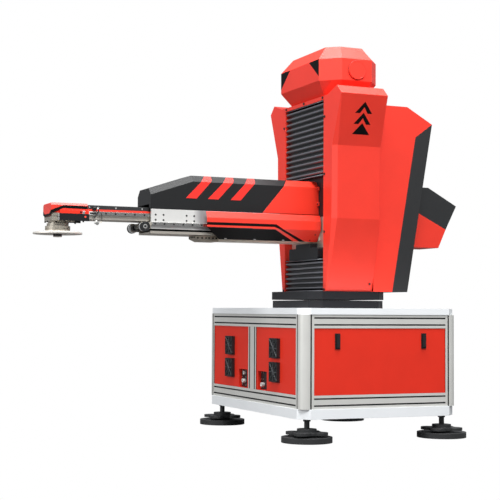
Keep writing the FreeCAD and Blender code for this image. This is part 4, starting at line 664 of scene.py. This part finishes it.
placeFittings({
    # cap screws in the side plates and along both pairs of rails
    "side_plate_screws": {
        "look": "blackOxide", "body": "middle_stage", "mirrored": True,
        "rods": heads([(x, -121.5, z) for x in (-1217, -1167, -1018.5, -969) for z in (1337, 1306)],
                      nearWay, 5.8, 1.2)},
    "mid_rail_screws": {
        "look": "blackOxide", "body": "middle_stage", "mirrored": True,
        "rods": heads([(-1225 + railPitch * k, -136.5, 1281) for k in range(14)], nearWay, 5.4, 1.0)},
    "front_rail_screws": {
        "look": "blackOxide", "body": "front_stage", "mirrored": True,
        "rods": heads([(-1520 + railPitch * k, -96.5, 1333) for k in range(10)], nearWay, 5.4, 1.0)},
    # wheels on the front pulley shaft: black tyre and plate, bright ring, socket screw
    "wheel_tyres": {
        "look": "blackMould", "body": "front_pulley", "mirrored": True,
        "rings": [(atWheel(wheel["tyreY"]), nearWay, 30.6, 22, 15.6),
                  (atWheel(wheel["faceY"]), nearWay, 23, 14, 0.8)]},
    "wheel_rings": {
        "look": "zincSteel", "body": "front_pulley", "mirrored": True,
        "rings": [(atWheel(wheel["faceY"]), nearWay, 13, 8.5, 1.6)]},
    "wheel_screws": {
        "look": "screwSteel", "body": "front_pulley", "mirrored": True,
        "rods": [(atWheel(wheel["faceY"]), nearWay, 6, 1.2)]},
    # pale housings and black nuts of the shaft's bearings, behind the wheels
    "bearing_housings": {
        "look": "paleCoat", "body": "middle_stage", "mirrored": True,
        "rings": [(atWheel(wheel["housingY"]), farWay, 28.5, 10, 13.5)]},
    "bearing_nuts": {
        "look": "blackMould", "body": "middle_stage", "mirrored": True,
        "rings": [(atWheel(wheel["nutY"]), farWay, 17, 10, 32)]},
    # bright corner clamps and strap end on the wrist bracket, black edges of its cheeks
    "wrist_clamps": {
        "look": "zincSteel", "body": "front_stage", "soften": 1.0,
        "boxes": [((-1812, -98, 1306), (-1802, -84.5, 1325)), ((-1813, -98, 1287), (-1802, -84.5, 1299)),
                  ((-1664, -98.5, 1326), (-1649, -95, 1344))]},
    "wrist_cheek_edges": {
        "look": "blackEnamel", "body": "front_stage", "mirrored": True,
        "boxes": [((-1802, -96.2, 1286), (-1785, -91, 1327))]},
    # red indicator on the near cheek
    "indicator": {
        "look": "redDot", "body": "front_stage", "rods": [((-1646, -95.5, 1310), nearWay, 6.0, 1.8)]},
    "wrist_underside_screws": {
        "look": "blackOxide", "body": "front_stage", "mirrored": True,
        "rods": heads([(x, -88, 1285.5) for x in (-1700, -1656)], downWay, 5, 7)
        + [((-1673, -95.5, 1337), nearWay, 5.5, 2.5)]},
    "gearbox_screws": {
        "look": "blackOxide", "body": "front_stage",
        "rods": heads([onFlange(k) for k in range(wrist["flangeScrews"])], downWay, 5, 7.5)},
    # dark joints in the gearbox and the turning collar, cap over the tool's pilot
    "gearbox_seams": {
        "look": "slotDark", "body": "front_stage",
        "boxes": [((-1846.5, -85.5, 1309.5), (-1701.5, 85.5, 1311.5))]},
    "collar_seams": {
        "look": "slotDark", "body": "wrist",
        "rings": [((wrist["x"], 0, 1239), upWay, 74.3, 70, 1.6), ((wrist["x"], 0, 1254.4), upWay, 68, 60, 0.9)]},
    "pilot_cap": {
        "look": "blackMould", "body": "wrist", "rings": [((wrist["x"], 0, 1208.6), downWay, 26.2, 20, 12)],
        "rods": [((wrist["x"], 0, 1192.3), downWay, 8, 1.4)]},
})

# Front lips of the lower covers: the covers' own first 24 mm, set on ahead of them
lip = {"front": -0.880, "length": 0.024, "merge": 1e-6}
lipBm = bmesh.new()
lipBm.from_mesh(nodes["lower_covers"].data)
lipBm.transform(nodes["lower_covers"].matrix_world)
bmesh.ops.bisect_plane(lipBm, geom=lipBm.verts[:] + lipBm.edges[:] + lipBm.faces[:], dist=lip["merge"],
                       plane_co=(lip["front"] + lip["length"], 0, 0), plane_no=(1, 0, 0), clear_outer=True)
bmesh.ops.holes_fill(lipBm, edges=[e for e in lipBm.edges if e.is_boundary], sides=0)
bmesh.ops.translate(lipBm, vec=(-lip["length"], 0, 0), verts=lipBm.verts)
toMesh("lower_cover_lips", lipBm, nodes["lower_covers"].data.materials[0], "carriage")

bevelWay = (0, -0.79, -0.61)
shellWay = (0, -1, -0.16)
placeFittings({
    # cable clips on the arm, catches and screws along the lower covers
    "cable_clips": {
        "look": "clipGrey", "body": "front_stage", "soften": 0.6,
        "boxes": [((x - 3, -85.5, 1364), (x + 3, -81, 1374)) for x in (-1618, -1455, -1290)]},
    "cover_catches": {
        "look": "zincSteel", "body": "carriage", "soften": 0.6, "mirrored": True,
        "boxes": [((x - 7, -123.5, 1203), (x + 7, -118.5, 1213)) for x in (-762, -566, -370)]},
    "cover_catch_screws": {
        "look": "screwSteel", "body": "carriage", "mirrored": True,
        "rods": heads([(-186, -123, 1211), (-160, -150, 1246)], bevelWay, 4.5, 2.5)},
    # block under the front end of the base beam
    "block_screws": {
        "look": "blackOxide", "body": "carriage", "mirrored": True,
        "rods": heads([(x, -60, 1209) for x in (-920, -892, -866, -846, -820, -798)], nearWay, 5.5, 2.5)},
    "block_screws_front": {
        "look": "blackOxide", "body": "carriage",
        "rods": heads([(-935, y, 1213) for y in (-42, -14, 14, 42)], frontWay, 4.5, 2.5)},
    # red tabs with black screws where the root cover meets the carriage
    "root_tabs": {
        "look": "redCover", "body": "carriage", "soften": 1.0, "mirrored": True,
        "boxes": [((-134, -140, z), (-124, -121.5, z + 24)) for z in (1528, 1430)]},
    "root_tab_screws": {
        "look": "screwSteel", "body": "carriage", "mirrored": True,
        "rods": heads([(-134, -131, z) for z in (1540, 1442)], frontWay, 5, 3)},
    # boss rings and caps on the head, small screws at the shells' lower corners
    "boss_rings": {
        "look": "slotDark", "body": "column", "mirrored": True,
        "rings": [((15, -375, 2271), nearWay, 62.5, 59.9, 0.8)]},
    "boss_caps": {
        "look": "redCoat", "body": "column", "mirrored": True,
        "rings": [((15, -385, 2271), nearWay, 59.5, 54, 0.6)]},
    "shell_screws": {
        "look": "screwSteel", "body": "column", "mirrored": True,
        "rods": [((128, -337, 935), shellWay, 6, 3.5)]},
})
print("stage: arm hardware placed")

# Filter guards: a square frame with slats and a cross of ribs over each fan
guard = {"faceX": -537, "fanY": 348, "fanZ": (538, 394), "inner": 52, "outer": 59, "slatPitch": 9.5, "slat": 4.0,
         "slatsEachWay": 5, "slatDepth": (4, 0.5), "frameDepth": (4.5, 0.2), "rib": 2.6, "ribDepth": 3,
         "ribReach": 54, "diagonal": 147, "ribSides": 8}
inner, outer = guard["inner"], guard["outer"]
frameBars = [(-outer, -inner, -outer, outer), (inner, outer, -outer, outer),
             (-outer, outer, inner, outer), (-outer, outer, -outer, -inner)]
guardBoxes = []
ribs = bmesh.new()


def guardBox(depth, y0, y1, z0, z1):
    return ((guard["faceX"] - depth[0], y0, z0), (guard["faceX"] - depth[1], y1, z1))


def guardRib(y, z, way, length):
    addRod(ribs, (guard["faceX"] - guard["ribDepth"], y, z), way, guard["rib"], length, sides=guard["ribSides"])


for fanY in (-guard["fanY"], guard["fanY"]):
    for fanZ in guard["fanZ"]:
        for k in range(-guard["slatsEachWay"], guard["slatsEachWay"] + 1):
            z = fanZ + k * guard["slatPitch"]
            guardBoxes.append(guardBox(guard["slatDepth"], fanY - inner, fanY + inner,
                                       z - guard["slat"] / 2, z + guard["slat"] / 2))
        for y0, y1, z0, z1 in frameBars:
            guardBoxes.append(guardBox(guard["frameDepth"], fanY + y0, fanY + y1, fanZ + z0, fanZ + z1))
        for way in (1, -1):
            guardRib(fanY - inner, fanZ - inner * way, (0, 1, way), guard["diagonal"])
        guardRib(fanY, fanZ - guard["ribReach"], upWay, 2 * guard["ribReach"])
        guardRib(fanY - guard["ribReach"], fanZ, farWay, 2 * guard["ribReach"])
toMesh("fan_guard_crosses", ribs, "guardRib", "cabinet")

placeFittings({
    "fan_guards": {"look": "blackMould", "body": "cabinet", "boxes": guardBoxes, "soften": 0.4},
    # dark strips over the divider's slots: painted shade of the slots
    "divider_slot_shade": {
        "look": "slotDark", "body": "cabinet",
        "boxes": [((-525.4, y - 6.5, 274), (-523.5, y + 6.5, 662)) for y in (-38, 38)]},
    # plug plates in both connector pockets, with small screws and bright plugs
    "plug_plates": {
        "look": "blackMould", "body": "cabinet", "mirrored": True, "soften": 0.8,
        "boxes": [((-500, -216.5, 276.5), (-496.5, -83.5, 389.5))]},
    "plug_screws": {
        "look": "zincSteel", "body": "cabinet",
        "rods": heads([(-500, y, z) for y in (208, 150, -92, -208, -120) for z in (288, 340, 380)],
                      frontWay, 4, 2)},
    "plugs": {
        "look": "clipWhite", "body": "cabinet",
        "rings": [((-500, 165, 366), frontWay, 11, 6, 12), ((-500, 165, 316), frontWay, 13, 7, 19),
                  ((-500, -128, 307), frontWay, 13, 7, 19)]},
})
print("stage: cabinet hardware placed")

# Two thin cables looping beside the wrist, on the same points as the CAD
materials["sheathSleeved"] = splitMaterial("sheathSleeved", "sheathPale", "sheathBlack", [((0, 0, 1), 1.288)])
cables = {
    "wrist_cable_black": {"laneMm": -100.8, "radiusMm": 3.5, "look": "sheathBlack", "ends": "object",
                          "line": [(-1600, 1362), (-1574, 1374), (-1563, 1336), (-1600, 1303)]},
    "wrist_cable_pale": {"laneMm": -99.3, "radiusMm": 2.0, "look": "sheathSleeved", "ends": "object",
                         "line": [(-1550, 1336), (-1543, 1300), (-1550, 1273), (-1584, 1284)]},
}


# Weight of point i at u on a B-spline
def basis(i, degree, u, knots):
    if degree == 0:
        return 1.0 if knots[i] <= u < knots[i + 1] else 0.0
    total = 0.0
    if knots[i + degree] > knots[i]:
        total += (u - knots[i]) / (knots[i + degree] - knots[i]) * basis(i, degree - 1, u, knots)
    if knots[i + degree + 1] > knots[i + 1]:
        fall = (knots[i + degree + 1] - u) / (knots[i + degree + 1] - knots[i + 1])
        total += fall * basis(i + 1, degree - 1, u, knots)
    return total


# Length of the smooth run through four points, on the same curve as Blender's own
def runLength(points):
    steps, degree, knots = 200, 2, (0, 0, 0, 0.5, 1, 1, 1)
    samples = []
    for k in range(steps + 1):
        weights = [basis(i, degree, k / steps, knots) for i in range(len(points))]
        samples.append(sum((Vector(p) * w for p, w in zip(points, weights)), Vector((0, 0, 0))))
    samples[-1] = Vector(points[-1])
    return sum((b - a).length for a, b in zip(samples, samples[1:]))


for cableName, cable in cables.items():
    points = [(x / 1000, cable["laneMm"] / 1000, z / 1000) for x, z in cable["line"]]
    curve = bpy.data.curves.new(cableName + "_run", "CURVE")
    curve.dimensions = "3D"
    spline = curve.splines.new("NURBS")
    spline.points.add(len(points) - 1)
    for point, spot in zip(spline.points, points):
        point.co = (*spot, 1.0)
    spline.order_u = 3
    spline.use_endpoint_u = True
    curve.bevel_depth = cable["radiusMm"] / 1000
    curve.bevel_resolution = 6
    curve.use_fill_caps = True
    curve.materials.append(materials[cable["look"]])
    run = bpy.data.objects.new(cableName + "_run", curve)
    scene.collection.objects.link(run)
    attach(run, "front_stage")
    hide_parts(cableName)
    runLength(points)
    print("cord", cableName, round(runLength(points), 4))

plugAxis = (-0.85, 0, 0.52)
placeFittings({
    # bright connector at the low end of the pale cable
    "pale_plug": {
        "look": "zincSteel", "body": "front_stage",
        "rods": [((-1568, -106, 1270.5), plugAxis, 9.5, 8), ((-1573, -106, 1273.5), plugAxis, 11.5, 13)]},
    "pale_plug_nut": {
        "look": "clipWhite", "body": "front_stage", "rings": [((-1584, -106, 1280.2), plugAxis, 12.3, 6, 6)]},
    # white saddle over the black cable, black anchor where it leaves the arm
    "cable_saddle": {
        "look": "clipWhite", "body": "front_stage", "soften": 0.8,
        "boxes": [((-1577, -104.6, 1357), (-1567, -97, 1367))]},
    "cable_anchor": {
        "look": "blackMould", "body": "front_stage", "soften": 1.0,
        "boxes": [((-1601, -90, 1352), (-1577, -82.3, 1372))]},
    # end stop on the front rail: a bright block with a dark slot
    "rail_stop": {
        "look": "satinPlate", "body": "front_stage", "soften": 1.0,
        "boxes": [((-1624, -97.1, 1323.5), (-1600.5, -80.5, 1342.5))]},
    "rail_stop_slot": {
        "look": "slotDark", "body": "front_stage", "boxes": [((-1619, -97.4, 1328), (-1580, -96.6, 1338))]},
})
print("stage: cables laid")

# Studio floor, big soft lamps, white surroundings for the camera
studio = {"floorMm": 60000, "floorColour": "686868", "floorRoughness": 0.9, "floorIor": 1.3,
          "worldColour": "F2F5FA", "worldStrength": 0.4, "white": (1, 1, 1, 1), "cameraWhite": 1.0}
floorBm = bmesh.new()
bmesh.ops.create_grid(floorBm, x_segments=1, y_segments=1, size=studio["floorMm"] / 2000)
floorPiece = placeMesh("studio_floor", floorBm)


# Studio paper: grey to the light that bounces off it, even white to the camera
def floorMaterial():
    material = bpy.data.materials.new("studioPaper")
    material.use_nodes = True
    tree = material.node_tree
    tree.nodes.clear()
    paper = addNode(tree, "ShaderNodeBsdfPrincipled", values={
        "Base Color": linear(studio["floorColour"]), "Roughness": studio["floorRoughness"],
        "IOR": studio["floorIor"]})
    glow = addNode(tree, "ShaderNodeEmission", values={"Color": studio["white"],
                                                       "Strength": studio["cameraWhite"]})
    path = addNode(tree, "ShaderNodeLightPath")
    mix = addNode(tree, "ShaderNodeMixShader", {0: path.outputs["Is Camera Ray"], 1: paper.outputs[0],
                                                2: glow.outputs[0]})
    addNode(tree, "ShaderNodeOutputMaterial", {"Surface": mix.outputs[0]})
    return material


floorPiece.data.materials.append(floorMaterial())

world = bpy.data.worlds.new("studio")
scene.world = world
world.use_nodes = True
worldTree = world.node_tree
worldTree.nodes.clear()
soft = addNode(worldTree, "ShaderNodeBackground", values={"Color": linear(studio["worldColour"]),
                                                          "Strength": studio["worldStrength"]})
white = addNode(worldTree, "ShaderNodeBackground", values={"Color": studio["white"],
                                                           "Strength": studio["cameraWhite"]})
path = addNode(worldTree, "ShaderNodeLightPath")
mix = addNode(worldTree, "ShaderNodeMixShader", {0: path.outputs["Is Camera Ray"], 1: soft.outputs[0],
                                                 2: white.outputs[0]})
addNode(worldTree, "ShaderNodeOutputWorld", {"Surface": mix.outputs[0]})

lamps = {
    "overhead": {"place": (-0.4, -1.2, 7.2), "aim": (-0.3, 0, 1.2), "size": (5.0, 4.0), "power": 640},
    "keyFront": {"place": (-1.4, -6.2, 7.2), "aim": (0.1, 0, 1.3), "size": (3.4, 2.6), "power": 580},
    "keyLeft": {"place": (-7.5, -1.0, 3.4), "aim": (-0.3, 0, 0.9), "size": (3.2, 2.6), "power": 235},
}
for lampName, lamp in lamps.items():
    light = bpy.data.lights.new(lampName, "AREA")
    light.shape = "RECTANGLE"
    light.size, light.size_y = lamp["size"]
    light.energy = lamp["power"]
    lampPiece = bpy.data.objects.new(lampName, light)
    lampPiece.location = lamp["place"]
    toward = Vector(lamp["aim"]) - Vector(lamp["place"])
    lampPiece.rotation_euler = toward.to_track_quat("-Z", "Y").to_euler()
    scene.collection.objects.link(lampPiece)

# The camera solved from the photo's vanishing lines: metres, degrees, and millimetres of lens and sensor
shot = {"place": (-3.7411, -7.3332, 0.7611), "yaw": 66.441, "pitch": 2.752, "roll": 0.346, "lens": 91.42,
        "sensor": 36, "farthest": 200}
yaw, pitch, roll = (math.radians(shot[key]) for key in ("yaw", "pitch", "roll"))
forward = Vector((math.cos(yaw) * math.cos(pitch), math.sin(yaw) * math.cos(pitch), math.sin(pitch)))
right = Vector((math.sin(yaw), -math.cos(yaw), 0))
up = right.cross(forward)
levelRight = right * math.cos(roll) + up * math.sin(roll)
levelUp = up * math.cos(roll) - right * math.sin(roll)
camera = bpy.data.cameras.new("photoCamera")
camera.sensor_width = shot["sensor"]
camera.lens = shot["lens"]
camera.clip_end = shot["farthest"]
cameraPiece = bpy.data.objects.new("photoCamera", camera)
turn = Matrix((levelRight, levelUp, -forward)).transposed().to_4x4()
cameraPiece.matrix_world = Matrix.Translation(shot["place"]) @ turn
scene.collection.objects.link(cameraPiece)
scene.camera = cameraPiece
scene.view_settings.view_transform = "Standard"
print("stage: studio set")
